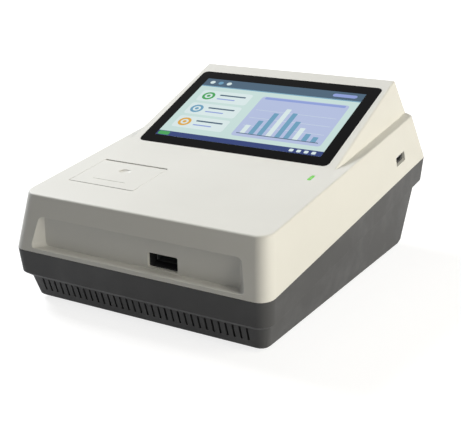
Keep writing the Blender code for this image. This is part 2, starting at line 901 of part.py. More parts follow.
def foot_places():
    return [
        (side * (RIGHT - FOOT_SIDE_IN), y)
        for side in (-1, 1)
        for y in (FRONT + FOOT_FRONT_SETBACK, REAR - FOOT_REAR_SETBACK)
    ]


def foot_sockets():
    span = (0, SOLE + FOOT_SOCKET)
    return joined([rod("Z", xy, FOOT_RADIUS + SEAT_GAP, span) for xy in foot_places()])


def bay_hole(centre, size):
    """A rectangular hole through the bay's panel, given its middle and its (width, height)."""
    return block(
        about(centre[0], size[0] + 2 * SEAT_GAP),
        (BAY_INSIDE - OVERRUN, BAY_FACE + OVERRUN),
        about(centre[1], size[1] + 2 * SEAT_GAP),
    )


def fan_vents():
    """Level slots through the bay's panel, inside the fan's ring."""
    vents = []
    count = FAN_VENTS
    for i in range(count):
        z = (i - (count - 1) / 2) * FAN_VENT_PITCH
        reach = math.sqrt((FAN_BORE_RADIUS - FAN_VENT_HEIGHT) ** 2 - z**2)
        vents.append(
            block(
                about(FAN_X, 2 * reach),
                (BAY_INSIDE - OVERRUN, BAY_FACE + OVERRUN),
                about(FAN_Z + z, FAN_VENT_HEIGHT),
            )
        )
    return joined(vents)


def add_lower_base():
    split = SOLE + POST_SPLIT_RISE - SEAT_GAP
    hollow = carved(
        [base_inside()], [bay_pocket(CASE_WALL), posts((SOLE, split), POST_RADIUS), pillars()]
    )
    notch_rear = PANEL_FACE + CASE_WALL + NOTCH_ROOM
    notch = above_rim(
        block(about(0, BODY_WIDTH * 2), (FRONT - OVERRUN, notch_rear), (SEAM.front_z, RIDGE_Z))
    )
    head_top = SOLE + SCREW_HEAD_DEPTH
    piece(
        "lower_base",
        "dark_plastic",
        [base_outside(), base_tongue()],
        [
            hollow,
            notch,
            bay_pocket(0),
            front_grille(),
            floor_slots(),
            foot_sockets(),
            pillar_bores(),
            posts((SOLE - OVERRUN, split + OVERRUN), SCREW_CLEAR_RADIUS),
            posts((SOLE - OVERRUN, head_top), SCREW_HEAD_RADIUS),
            bay_hole((INLET_X, INLET_Z), (INLET_WIDTH, INLET_HEIGHT)),
            bay_hole((SWITCH_X, INLET_Z), (SWITCH_WIDTH, SWITCH_HEIGHT)),
            bay_hole((DATA_PORT_X, data_port_z()), (DATA_PORT_WIDTH, DATA_PORT_HEIGHT)),
            bay_hole((NETWORK_X, network_z()), (NETWORK_WIDTH, NETWORK_HEIGHT)),
            fan_vents(),
        ],
    )


def above_rim(mesh):
    """Trims the notch to what lies above the base's sloping rim, so that only the tongue goes."""
    rise = Vector((0, SEAM.rear - SEAM.front, SEAM.rear_z - SEAM.front_z))
    up = Vector((1, 0, 0)).cross(rise)
    point = Vector((0, SEAM.front, SEAM.front_z - SEAT_GAP))
    cut_by(mesh, point, -up)
    bmesh.ops.recalc_face_normals(mesh, faces=mesh.faces)
    return mesh


def add_feet():
    """Rubber feet, sunk in round sockets in the floor."""
    names = ("foot_front_left", "foot_rear_left", "foot_front_right", "foot_rear_right")
    top = SOLE + FOOT_SOCKET - SEAT_GAP
    for name, xy in zip(names, foot_places()):
        profile = (
            (FOOT_RADIUS - FOOT_TAPER, 0),
            (FOOT_RADIUS - FOOT_SHOULDER, FOOT_SHOULDER_RISE),
            (FOOT_RADIUS, top),
        )
        piece(name, "rubber", [turned("Z", xy, profile)])


# The display


def add_display(parent):
    """The glass in its seat, and behind the ledge the panel, its bracket and its board."""
    glass_z = (GLASS_PROUD - GLASS_THICKNESS, GLASS_PROUD)
    piece(
        "display_glass",
        "glass_black",
        [slab("Z", about(0, GLASS_WIDTH), about(0, GLASS_LENGTH), glass_z, GLASS_CORNER)],
        parent=parent,
    )
    centre = ACTIVE_FRONT_MARGIN + ACTIVE_LENGTH / 2 - GLASS_LENGTH / 2
    width = ACTIVE_WIDTH + 2 * PANEL_BORDER
    length = ACTIVE_LENGTH + 2 * PANEL_BORDER
    top = -CASE_WALL - SEAT_GAP
    back = top - PANEL_THICKNESS
    piece(
        "lcd_panel",
        "panel",
        [block(about(0, width), about(centre, length), (back, top))],
        parent=parent,
    )
    tray_width = width + 2 * (SEAT_GAP + BRACKET_THICKNESS)
    tray_length = length + 2 * (SEAT_GAP + BRACKET_THICKNESS)
    tray_back = back - SEAT_GAP - BRACKET_THICKNESS
    hole = slab(
        "Z",
        about(0, width * BRACKET_HOLE_WIDTH_SHARE),
        about(centre, length * BRACKET_HOLE_LENGTH_SHARE),
        (tray_back - OVERRUN, back + OVERRUN),
        GLASS_CORNER,
    )
    pan = block(
        about(0, width + 2 * SEAT_GAP), about(centre, length + 2 * SEAT_GAP), (back - SEAT_GAP, 0)
    )
    piece(
        "display_bracket",
        "sheet_steel",
        [block(about(0, tray_width), about(centre, tray_length), (tray_back, top))],
        [pan, hole],
        parent=parent,
    )
    board_top = tray_back - SEAT_GAP
    piece(
        "display_board",
        "board",
        [
            block(
                about(0, DISPLAY_BOARD_WIDTH),
                about(centre, DISPLAY_BOARD_LENGTH),
                (board_top - BOARD_THICKNESS, board_top),
            )
        ],
        parent=parent,
    )


# The status light

LENS_FLANGE = 0.0014
LENS_FLANGE_THICKNESS = 0.0010
LIGHT_BOARD_WIDTH = 0.010
LIGHT_BOARD_LENGTH = 0.018
LIGHT_CHIP = 0.0024
LIGHT_CHIP_HEIGHT = 0.0012


def add_status_light(parent):
    """A green lens through the deck, with its small board under it."""
    under = -CASE_WALL - SEAT_GAP
    flange_low = under - LENS_FLANGE_THICKNESS
    stem = slab(
        "Z",
        about(0, LENS_WIDTH),
        about(0, LENS_LENGTH),
        (under - LENS_FLANGE_THICKNESS / 2, 0),
        LENS_CORNER,
    )
    flange = block(
        about(0, LENS_WIDTH + 2 * LENS_FLANGE),
        about(0, LENS_LENGTH + 2 * LENS_FLANGE),
        (flange_low, under),
    )
    piece("status_lens", "green_lens", [stem, flange], parent=parent)
    chip_top = flange_low - SEAT_GAP
    board_top = chip_top - LIGHT_CHIP_HEIGHT
    board = block(
        about(0, LIGHT_BOARD_WIDTH),
        about(0, LIGHT_BOARD_LENGTH),
        (board_top - BOARD_THICKNESS, board_top),
    )
    chip = block(about(0, LIGHT_CHIP), about(0, LIGHT_CHIP), (board_top - SINK, chip_top))
    piece("status_board", "board", [board, chip], parent=parent)


# The printer

LID_THICKNESS = 0.0022
LID_FRONT_GAP = 0.0008
PAPER_SLOT = 0.0020
HINGE_IN = 0.0025
HINGE_DROP = 0.0045
HINGE_PIN_RADIUS = 0.0010
KNUCKLE_RADIUS = 0.0026
KNUCKLE_LENGTH = 0.008
KNUCKLE_X = 0.020
SCOOP_X = 0.0009
SCOOP_Y = 0.0069
SCOOP_WIDTH = 0.0104
SCOOP_LENGTH = 0.0074
SCOOP_DEPTH = 0.0013
GRIP_LINE_WIDTH = 0.030
GRIP_LINE_BACK = 0.0109
GRIP_LINE_CUT = 0.0005
PLATEN_RADIUS = 0.0040
PLATEN_LENGTH = 0.0500
PLATEN_SHAFT_RADIUS = 0.0015
PLATEN_IN = 0.0048
PLATEN_DROP = 0.0075
CHEEK_THICKNESS = 0.0018
CHEEK_MARGIN = 0.0018
GEAR_TEETH = 18
GEAR_MODULE = 0.0005
GEAR_THICKNESS = 0.0018
GEAR_TIP_SHARE = 0.9
GEAR_ROOT_SHARE = 1.15
TOOTH_SHARES = (0.12, 0.32, 0.54, 0.74)
WELL_WALL = 0.0018
WELL_DEPTH = 0.0460
WELL_SHELF = 0.0170
WELL_REACH = 0.0230
WELL_FRONT_ROOM = 0.0036
WELL_SIDE_ROOM = 0.0009
WELL_STEPS = 14
HEAD_THICKNESS = 0.0020
HEAD_HEIGHT = 0.0100
HEAD_MARGIN = 0.0020
FRAME_WALL = 0.0015
FRAME_LENGTH = 0.0200
TEAR_THICKNESS = 0.0006
TEAR_LENGTH = 0.0065
TEAR_TOOTH = 0.0012
TEAR_BITE = 0.0005
MOTOR_RADIUS = 0.0050
MOTOR_LENGTH = 0.0180
MOTOR_SHAFT_RADIUS = 0.0008

LID_FRONT = LID_FRONT_GAP - OPENING_LENGTH / 2
LID_REAR = OPENING_LENGTH / 2 - PAPER_SLOT
LID_HALF = OPENING_WIDTH / 2 - SEAT_GAP
HINGE_Y = LID_FRONT + HINGE_IN
HINGE_Z = -HINGE_DROP
HINGE_SWEEP = math.hypot(HINGE_IN, HINGE_DROP)
PLATEN_Y = LID_REAR - PLATEN_IN
PLATEN_Z = -PLATEN_DROP
HEAD_Y = PLATEN_Y + PLATEN_RADIUS + SEAT_GAP
CHEEK_X = PLATEN_LENGTH / 2 + SEAT_GAP
GEAR_X = CHEEK_X + CHEEK_THICKNESS + SEAT_GAP
WELL_HALF = OPENING_WIDTH / 2 + WELL_SIDE_ROOM


def add_printer_lid(parent):
    """The flush lid: a plate with two hinge knuckles in front and two platen cheeks at the rear."""
    plate = slab(
        "Z", about(0, 2 * LID_HALF), (LID_FRONT, LID_REAR), (-LID_THICKNESS, 0), OPENING_CORNER
    )
    adds = [plate]
    for side in (-1, 1):
        span = about(side * KNUCKLE_X, KNUCKLE_LENGTH)
        adds.append(rod("X", (HINGE_Y, HINGE_Z), KNUCKLE_RADIUS, span))
        low = PLATEN_Z - PLATEN_SHAFT_RADIUS - CHEEK_MARGIN
        cheek = slab(
            "X",
            about(PLATEN_Y, 2 * (PLATEN_SHAFT_RADIUS + CHEEK_MARGIN)),
            (low, -LID_THICKNESS / 2),
            sorted((side * CHEEK_X, side * (CHEEK_X + CHEEK_THICKNESS))),
            LID_THICKNESS / 2,
        )
        adds.append(cheek)
    bowl = bmesh.new()
    bmesh.ops.create_uvsphere(bowl, u_segments=ROUND_STEPS, v_segments=PIN_STEPS, radius=1)
    size = Matrix.Diagonal((SCOOP_WIDTH / 2, SCOOP_LENGTH / 2, SCOOP_DEPTH, 1))
    scoop = moved(bowl, Matrix.Translation((SCOOP_X, SCOOP_Y, 0)) @ size)
    line_y = about(GRIP_LINE_BACK - OPENING_LENGTH / 2, GRIP_LINE_CUT)
    line = block(about(0, GRIP_LINE_WIDTH), line_y, (-GRIP_LINE_CUT, OVERRUN))
    bore_span = about(0, OPENING_WIDTH + OVERRUN)
    pin_bore = rod(
        "X", (HINGE_Y, HINGE_Z), HINGE_PIN_RADIUS + RUNNING_GAP, bore_span, PIN_STEPS
    )
    shaft_bore = rod(
        "X", (PLATEN_Y, PLATEN_Z), PLATEN_SHAFT_RADIUS + RUNNING_GAP, bore_span, PIN_STEPS
    )
    piece(
        "printer_lid",
        "white_plastic",
        adds,
        [scoop, line, pin_bore, shaft_bore],
        parent=parent,
        pivot=(0, HINGE_Y, HINGE_Z),
    )


def add_platen(parent):
    """The rubber roller on its shaft, and the gear on the shaft's right end."""
    centre = (PLATEN_Y, PLATEN_Z)
    half = PLATEN_LENGTH / 2
    inner = -(CHEEK_X + CHEEK_THICKNESS)
    outer = GEAR_X + GEAR_THICKNESS
    profile = (
        (PLATEN_SHAFT_RADIUS, inner),
        (PLATEN_SHAFT_RADIUS, -half),
        (PLATEN_RADIUS, -half),
        (PLATEN_RADIUS, half),
        (PLATEN_SHAFT_RADIUS, half),
        (PLATEN_SHAFT_RADIUS, outer),
    )
    pivot = (0, PLATEN_Y, PLATEN_Z)
    piece("platen_roller", "rubber", [turned("X", centre, profile)], parent=parent, pivot=pivot)
    bore = rod(
        "X",
        centre,
        PLATEN_SHAFT_RADIUS + SEAT_GAP,
        (GEAR_X - OVERRUN, outer + OVERRUN),
        PIN_STEPS,
    )
    outline = gear_outline(centre, GEAR_TEETH, GEAR_MODULE)
    gear = prism("X", outline, (GEAR_X, outer))
    piece("platen_gear", "grey_plastic", [gear], [bore], parent=parent, pivot=pivot)


def gear_outline(centre, teeth, module):
    """A spur gear's outline: each tooth is a flat-topped trapezium between two roots."""
    pitch_radius = teeth * module / 2
    tip = pitch_radius + module * GEAR_TIP_SHARE
    root = pitch_radius - module * GEAR_ROOT_SHARE
    points = []
    for tooth in range(teeth):
        for share, radius in zip(TOOTH_SHARES, (root, tip, tip, root)):
            angle = math.tau * (tooth + share) / teeth
            points.append(
                (centre[0] + radius * math.cos(angle), centre[1] + radius * math.sin(angle))
            )
    return points


def add_hinge_pin(parent):
    half = WELL_HALF + WELL_WALL
    pin = rod("X", (HINGE_Y, HINGE_Z), HINGE_PIN_RADIUS, about(0, 2 * half), PIN_STEPS)
    piece("lid_hinge_pin", "steel", [pin], parent=parent, pivot=(0, HINGE_Y, HINGE_Z))


def well_outline(grow):
    """The paper well's section from the side: a trough with a round bottom."""
    front = HINGE_Y - HINGE_SWEEP - WELL_FRONT_ROOM + WELL_WALL - grow
    rear = HEAD_Y - HEAD_THICKNESS + grow
    radius = (rear - front) / 2
    middle = (rear + front) / 2
    low = -WELL_DEPTH + radius - grow
    top = -CASE_WALL - SEAT_GAP
    points = [(front, top), (front, low)]
    for step in range(1, WELL_STEPS):
        angle = math.pi * (1 + step / WELL_STEPS)
        points.append((middle + radius * math.cos(angle), low + radius * math.sin(angle)))
    points.append((rear, low))
    points.append((rear, top))
    return points


def add_paper_well(parent):
    """The moulded well for the paper roll. Its side walls hold the hinge pin, its shelf the printer."""
    outer_half = WELL_HALF + WELL_WALL
    under = -CASE_WALL - SEAT_GAP
    trough = prism("X", well_outline(WELL_WALL), about(0, 2 * outer_half))
    hollow_outline = [(y, z + OVERRUN if z > under - SINK else z) for y, z in well_outline(0)]
    hollow = prism("X", hollow_outline, about(0, 2 * WELL_HALF))
    shelf_y = (HEAD_Y - HEAD_THICKNESS, HEAD_Y + WELL_REACH)
    shelf_z = (-WELL_SHELF - SEAT_GAP - WELL_WALL, -WELL_SHELF / 2)
    shelf = block(about(0, 2 * outer_half), shelf_y, shelf_z)
    room = block(
        about(0, 2 * WELL_HALF),
        (shelf_y[0] - OVERRUN, shelf_y[1] + OVERRUN),
        (-WELL_SHELF - SEAT_GAP, 0),
    )
    pin_bore = rod(
        "X",
        (HINGE_Y, HINGE_Z),
        HINGE_PIN_RADIUS + SEAT_GAP,
        about(0, 2 * outer_half + OVERRUN),
        PIN_STEPS,
    )
    piece(
        "paper_well", "black_plastic", [trough, shelf], [hollow, room, pin_bore], parent=parent
    )


def add_printer_frame(parent):
    """The printer's frame behind the platen, with its head, tear bar and motor."""
    half = WELL_HALF - SEAT_GAP
    front = HEAD_Y + HEAD_THICKNESS + SEAT_GAP
    rear = front + FRAME_LENGTH
    low = -WELL_SHELF
    under = -CASE_WALL - SEAT_GAP
    flange_top = under - TEAR_THICKNESS - SEAT_GAP
    cheek_top = flange_top - FRAME_WALL
    motor_z = low + FRAME_WALL + SEAT_GAP + MOTOR_RADIUS
    motor_y = rear - MOTOR_RADIUS - FRAME_WALL
    adds = [
        block(about(0, 2 * half), (front, rear), (low, low + FRAME_WALL)),
        block(about(0, 2 * half), (front, front + FRAME_WALL), (low, flange_top)),
        block(about(0, 2 * half), (front, front + TEAR_LENGTH), (cheek_top, flange_top)),
    ]
    for side in (-1, 1):
        x = sorted((side * half, side * (half - FRAME_WALL)))
        adds.append(block(x, (front, rear), (low, cheek_top + FRAME_WALL / 2)))
    shaft_hole = rod(
        "X",
        (motor_y, motor_z),
        MOTOR_SHAFT_RADIUS + SEAT_GAP,
        (half - FRAME_WALL - OVERRUN, half + OVERRUN),
        PIN_STEPS,
    )
    piece("printer_frame", "sheet_steel", adds, [shaft_hole], parent=parent)
    head_top = flange_top
    head = block(
        about(0, PLATEN_LENGTH + 2 * HEAD_MARGIN),
        (HEAD_Y, HEAD_Y + HEAD_THICKNESS),
        (head_top - HEAD_HEIGHT, head_top),
    )
    piece("print_head", "ceramic", [head], parent=parent)
    bar_z = (flange_top + SEAT_GAP, flange_top + SEAT_GAP + TEAR_THICKNESS)
    bar = prism("Z", tear_outline(OPENING_LENGTH / 2 - TEAR_BITE), bar_z)
    piece("tear_bar", "steel", [bar], parent=parent)
    motor_x = half - FRAME_WALL - SEAT_GAP
    motor = turned(
        "X",
        (motor_y, motor_z),
        (
            (MOTOR_RADIUS, motor_x - MOTOR_LENGTH),
            (MOTOR_RADIUS, motor_x),
            (MOTOR_SHAFT_RADIUS, motor_x),
            (MOTOR_SHAFT_RADIUS, half + SEAT_GAP),
        ),
    )
    piece("printer_motor", "steel", [motor], parent=parent)


def tear_outline(front):
    """The tear bar from above: a strip with a row of pointed teeth along its front edge."""
    count = round(PLATEN_LENGTH / TEAR_TOOTH)
    half = count * TEAR_TOOTH / 2
    points = [(-half, front + TEAR_BITE)]
    for tooth in range(count):
        start = -half + tooth * TEAR_TOOTH
        points.append((start + TEAR_TOOTH / 2, front))
        points.append((start + TEAR_TOOTH, front + TEAR_BITE))
    points.append((half, front + TEAR_LENGTH))
    points.append((-half, front + TEAR_LENGTH))
    return points


# The card reader, drawn round the middle of the port at the rear face of the recess's panel

CARD_WIDTH = 0.0200
CARD_HEIGHT = 0.0050
CARD_LENGTH = 0.0700
CARD_CLEARANCE = 0.0006
BEZEL_LENGTH = 0.0060
BEZEL_WALL = 0.0012
BEZEL_FLANGE = 0.0030
BEZEL_FLANGE_THICKNESS = 0.0015
TRAY_TRAVEL = 0.0480
TRAY_WALL = 0.0034
TRAY_END = 0.0055
TRAY_GAP = 0.0008
CARRIAGE_LENGTH = 0.0320
CARRIAGE_HALF = 0.0260
CARRIAGE_BACK = 0.0060
CARRIAGE_MARGIN = 0.0024
ROD_RADIUS = 0.0025
ROD_X = 0.0205
SCREW_RADIUS = 0.0030
NUT_RADIUS = 0.0045
NUT_LENGTH = 0.0120
NUT_FLANGE = 0.0025
NUT_FLANGE_WIDTH = 0.0170
COLLAR_RADIUS = 0.0050
COLLAR_LENGTH = 0.0040
CHASSIS_HALF = 0.0310
CHASSIS_WALL = 0.0018
CHASSIS_PLATE = 0.0030
CHASSIS_ROOM = 0.0040
CHASSIS_FLANGE = 0.0050
PILLAR_IN_X = 0.0240
PILLAR_IN_Y = 0.0120
STEPPER_SIDE = 0.0280
STEPPER_LENGTH = 0.0310
STEPPER_CHAMFER = 0.0030
STEPPER_BORE = 0.0170
BUSH_FLANGE = 0.0052
BUSH_WALL = 0.0012
BRIDGE_RISE = 0.0090
BRIDGE_LENGTH = 0.0320
BRIDGE_FRONT = 0.0640
BRIDGE_WALL = 0.0015
SENSOR_LENGTH = 0.0130
SENSOR_WIDTH = 0.0190
SENSOR_NOSE_STEPS = 6
SENSOR_BOARD_WIDTH = 0.042
SENSOR_BOARD_LENGTH = 0.026

CARD_Z = -CARD_HEIGHT / 2 - CARD_CLEARANCE
POCKET_Z = CARD_Z - SEAT_GAP
TRAY_LOW = POCKET_Z - TRAY_WALL
TRAY_HIGH = CARD_Z + CARD_HEIGHT - CARD_CLEARANCE
TRAY_HALF = CARD_WIDTH / 2 + CARD_CLEARANCE + TRAY_WALL
TRAY_FRONT = SEAT_GAP + BEZEL_LENGTH + TRAY_GAP
TRAY_LENGTH = CARD_LENGTH + CARD_CLEARANCE + TRAY_END
SCREW_Z = TRAY_LOW - NUT_RADIUS - CARRIAGE_MARGIN / 2
CARRIAGE_LOW = SCREW_Z - NUT_RADIUS - CARRIAGE_MARGIN
CARRIAGE_REAR = TRAY_FRONT + TRAY_LENGTH - CARRIAGE_BACK
CARRIAGE_FRONT = CARRIAGE_REAR - CARRIAGE_LENGTH
CHASSIS_LOW = CARRIAGE_LOW - CHASSIS_ROOM
CHASSIS_Y = (
    CARRIAGE_FRONT - NUT_FLANGE - CHASSIS_ROOM - CHASSIS_PLATE,
    CARRIAGE_REAR + TRAY_TRAVEL + CHASSIS_ROOM + CHASSIS_PLATE,
)
CHASSIS_TOP = CHASSIS_LOW + CHASSIS_WALL


def add_port_bezel(parent):
    """The black guide behind the port: a flange on the panel and a throat that narrows to the tray."""
    y0 = SEAT_GAP
    y1 = SEAT_GAP + BEZEL_LENGTH
    mouth = (PORT_WIDTH - BEZEL_WALL, PORT_HEIGHT - BEZEL_WALL)
    throat = (CARD_WIDTH + 2 * CARD_CLEARANCE, CARD_HEIGHT + 2 * CARD_CLEARANCE)
    flange = slab(
        "Y",
        about(0, PORT_WIDTH + 2 * BEZEL_FLANGE),
        about(0, PORT_HEIGHT + 2 * BEZEL_FLANGE),
        (y0, y0 + BEZEL_FLANGE_THICKNESS),
        PORT_CORNER,
    )
    body = block(
        about(0, PORT_WIDTH + 2 * BEZEL_WALL), (y0, y1), about(0, PORT_HEIGHT + 2 * BEZEL_WALL)
    )
    loops = []
    grow = 1 + OVERRUN / BEZEL_LENGTH
    for share in (1 - grow, grow):
        width = mouth[0] + (throat[0] - mouth[0]) * share
        height = mouth[1] + (throat[1] - mouth[1]) * share
        y = y0 + BEZEL_LENGTH * share
        outline = rounded(about(0, width), about(0, height), PORT_CORNER)
        loops.append([Vector((u, y, v)) for u, v in outline])
    piece("port_bezel", "black_plastic", [flange, body], [skin(loops)], parent=parent)


def add_card_tray(parent):
    """The card's tray on its carriage, which slides on two rods, and the nut that drives it."""
    rear = TRAY_FRONT + TRAY_LENGTH
    tray = block(about(0, 2 * TRAY_HALF), (TRAY_FRONT, rear), (TRAY_LOW, TRAY_HIGH))
    carriage = block(
        about(0, 2 * CARRIAGE_HALF),
        (CARRIAGE_FRONT, CARRIAGE_REAR),
        (CARRIAGE_LOW, TRAY_LOW + SINK),
    )
    pocket = block(
        about(0, CARD_WIDTH + 2 * CARD_CLEARANCE),
        (TRAY_FRONT - OVERRUN, rear - TRAY_END),
        (POCKET_Z, TRAY_HIGH + OVERRUN),
    )
    span = (CARRIAGE_FRONT - OVERRUN, CARRIAGE_REAR + OVERRUN)
    bores = joined(
        [
            rod("Y", (side * ROD_X, SCREW_Z), ROD_RADIUS + RUNNING_GAP, span, PIN_STEPS)
            for side in (-1, 1)
        ]
    )
    nut_bore = rod("Y", (0, SCREW_Z), NUT_RADIUS + SEAT_GAP, span)
    piece("card_tray", "grey_plastic", [tray, carriage], [pocket, bores, nut_bore], parent=parent)
    face = CARRIAGE_FRONT - SEAT_GAP
    half_high = min(TRAY_LOW - SEAT_GAP - SCREW_Z, NUT_RADIUS + CARRIAGE_MARGIN)
    flange = slab(
        "Y",
        about(0, NUT_FLANGE_WIDTH),
        about(SCREW_Z, 2 * half_high),
        (face - NUT_FLANGE, face),
        CARRIAGE_MARGIN / 2,
    )
    barrel = rod("Y", (0, SCREW_Z), NUT_RADIUS, (face - SINK, face + NUT_LENGTH))
    bore_span = (face - NUT_FLANGE - OVERRUN, face + NUT_LENGTH + OVERRUN)
    bore = rod("Y", (0, SCREW_Z), SCREW_RADIUS + RUNNING_GAP, bore_span)
    piece("screw_nut", "brass", [flange, barrel], [bore], parent=parent)


def add_reader_chassis(parent):
    """The chassis plate with its two end plates and side flanges, and the two guide rods."""
    front, rear = CHASSIS_Y
    end_top = TRAY_LOW - CARD_CLEARANCE
    adds = [
        block(about(0, 2 * CHASSIS_HALF), CHASSIS_Y, (CHASSIS_LOW, CHASSIS_TOP)),
        block(about(0, 2 * CHASSIS_HALF), (front, front + CHASSIS_PLATE), (CHASSIS_LOW, end_top)),
        block(about(0, 2 * CHASSIS_HALF), (rear - CHASSIS_PLATE, rear), (CHASSIS_LOW, end_top)),
    ]
    for side in (-1, 1):
        x = sorted((side * CHASSIS_HALF, side * (CHASSIS_HALF - CHASSIS_WALL)))
        adds.append(block(x, CHASSIS_Y, (CHASSIS_LOW, CHASSIS_LOW + CHASSIS_FLANGE)))
    through = (front - OVERRUN, rear + OVERRUN)
    rod_holes = joined(
        [
            rod("Y", (side * ROD_X, SCREW_Z), ROD_RADIUS + SEAT_GAP, through, PIN_STEPS)
            for side in (-1, 1)
        ]
    )
    bush_hole = rod(
        "Y",
        (0, SCREW_Z),
        SCREW_RADIUS + RUNNING_GAP + BUSH_WALL + SEAT_GAP,
        (front - OVERRUN, front + CHASSIS_PLATE + OVERRUN),
    )
    rear_hole = rod(
        "Y",
        (0, SCREW_Z),
        SCREW_RADIUS + RUNNING_GAP,
        (rear - CHASSIS_PLATE - OVERRUN, rear + OVERRUN),
    )
    z = (CHASSIS_LOW - OVERRUN, CHASSIS_TOP + OVERRUN)
    screw_holes = joined(
        [
            rod("Z", (x, y), PILLAR_BORE_RADIUS + SEAT_GAP, z, PIN_STEPS)
            for x in (-PILLAR_IN_X, PILLAR_IN_X)
            for y in (front + PILLAR_IN_Y, rear - PILLAR_IN_Y)
        ]
    )
    piece(
        "reader_chassis",
        "sheet_steel",
        adds,
        [rod_holes, bush_hole, rear_hole, screw_holes],
        parent=parent,
    )
    for side, name in ((-1, "guide_rod_left"), (1, "guide_rod_right")):
        shaft = rod("Y", (side * ROD_X, SCREW_Z), ROD_RADIUS, CHASSIS_Y)
        piece(name, "steel", [shaft], parent=parent)


def add_lead_screw(parent):
    """The screw under the tray, its front bush and the motor that it runs into."""
    front, rear = CHASSIS_Y
    tip = front - BUSH_WALL * 2
    tail = rear + STEPPER_BORE
    collar = front + CHASSIS_PLATE + SEAT_GAP
    profile = (
        (SCREW_RADIUS, tip),
        (SCREW_RADIUS, collar),
        (COLLAR_RADIUS, collar),
        (COLLAR_RADIUS, collar + COLLAR_LENGTH / 2),
        (SCREW_RADIUS, collar + COLLAR_LENGTH / 2),
        (SCREW_RADIUS, tail),
    )
    piece(
        "lead_screw",
        "steel",
        [turned("Y", (0, SCREW_Z), profile)],
        parent=parent,
        pivot=(0, 0, SCREW_Z),
    )
    inner = SCREW_RADIUS + RUNNING_GAP
    bush = turned(
        "Y",
        (0, SCREW_Z),
        (
            (BUSH_FLANGE, front - SEAT_GAP - BUSH_WALL),
            (BUSH_FLANGE, front - SEAT_GAP),
            (inner + BUSH_WALL, front - SEAT_GAP),
            (inner + BUSH_WALL, front + CHASSIS_PLATE),
        ),
    )
    bore = rod("Y", (0, SCREW_Z), inner, (front - OVERRUN * 2, front + CHASSIS_PLATE + OVERRUN))
    piece("screw_bush", "brass", [bush], [bore], parent=parent)
    y0 = rear + SEAT_GAP
    half = STEPPER_SIDE / 2
    cut = STEPPER_CHAMFER
    corners = []
    for u, v in ((1, -1), (1, 1), (-1, 1), (-1, -1)):
        near = (u * (half - cut), v * half)
        far = (u * half, v * (half - cut))
        corners.extend((near, far) if u * v < 0 else (far, near))
    outline = [(u, SCREW_Z + v) for u, v in corners]
    body = prism("Y", outline, (y0, y0 + STEPPER_LENGTH))
    hole = rod("Y", (0, SCREW_Z), SCREW_RADIUS + RUNNING_GAP, (y0 - OVERRUN, y0 + STEPPER_BORE))
    piece("stepper_motor", "steel", [body], [hole], parent=parent)


def add_sensor(parent):
    """The bridge over the tray, the sensing head under it and its board on top."""
    y = (BRIDGE_FRONT, BRIDGE_FRONT + BRIDGE_LENGTH)
    middle = (y[0] + y[1]) / 2
    half = CHASSIS_HALF - CHASSIS_WALL - SEAT_GAP
    foot = CHASSIS_TOP + SEAT_GAP
    top = BRIDGE_RISE + BRIDGE_WALL
    bridge = block(about(0, 2 * half), y, (foot, top))
    room = block(
        about(0, 2 * (half - BRIDGE_WALL)),
        (y[0] - OVERRUN, y[1] + OVERRUN),
        (foot - OVERRUN, BRIDGE_RISE),
    )
    piece("sensor_bridge", "aluminium", [bridge], [room], parent=parent)
    head_top = BRIDGE_RISE - SEAT_GAP
    head_low = CARD_Z + CARD_HEIGHT + CARD_CLEARANCE * 2
    nose = SENSOR_LENGTH / 2
    flat = head_low + (head_top - head_low) / 2
    outline = [(middle + nose, head_top), (middle - nose, head_top)]
    for step in range(SENSOR_NOSE_STEPS + 1):
        angle = math.pi * (1 + step / SENSOR_NOSE_STEPS)
        outline.append(
            (middle + nose * math.cos(angle), flat + (flat - head_low) * math.sin(angle))
        )
    head = prism("X", outline, about(0, SENSOR_WIDTH))
    piece("sensor_head", "steel", [head], parent=parent)
    board_z = (top + SEAT_GAP, top + SEAT_GAP + BOARD_THICKNESS)
    board = block(about(0, SENSOR_BOARD_WIDTH), about(middle, SENSOR_BOARD_LENGTH), board_z)
    piece("sensor_board", "board", [board], parent=parent)


# The side port

SIDE_POCKET_CORNER = 0.0006
PLUG_SHELL_WIDTH = 0.0132
PLUG_SHELL_HEIGHT = 0.0058
PLUG_SHELL_LENGTH = 0.0140
PLUG_SHELL_WALL = 0.0004
PLUG_BACK = 0.0030
TONGUE_THICKNESS = 0.0012
SIDE_BOARD_SIZE = 0.0180
SURROUND_THICKNESS = 0.0012


def plug_port_cavity(axis, centre, mouth, depth):
    """The cavity of one flat data port, which ends under the tongue along its top."""
    width = PLUG_SHELL_WIDTH - 2 * PLUG_SHELL_WALL
    height = PLUG_SHELL_HEIGHT - 2 * PLUG_SHELL_WALL
    low = centre[1] - height / 2
    tongue_low = centre[1] + height / 2 - TONGUE_THICKNESS
    outline = rounded(about(centre[0], width), (low, tongue_low), PLUG_SHELL_WALL, 1)
    return prism(axis, outline, (mouth - depth, mouth + OVERRUN))


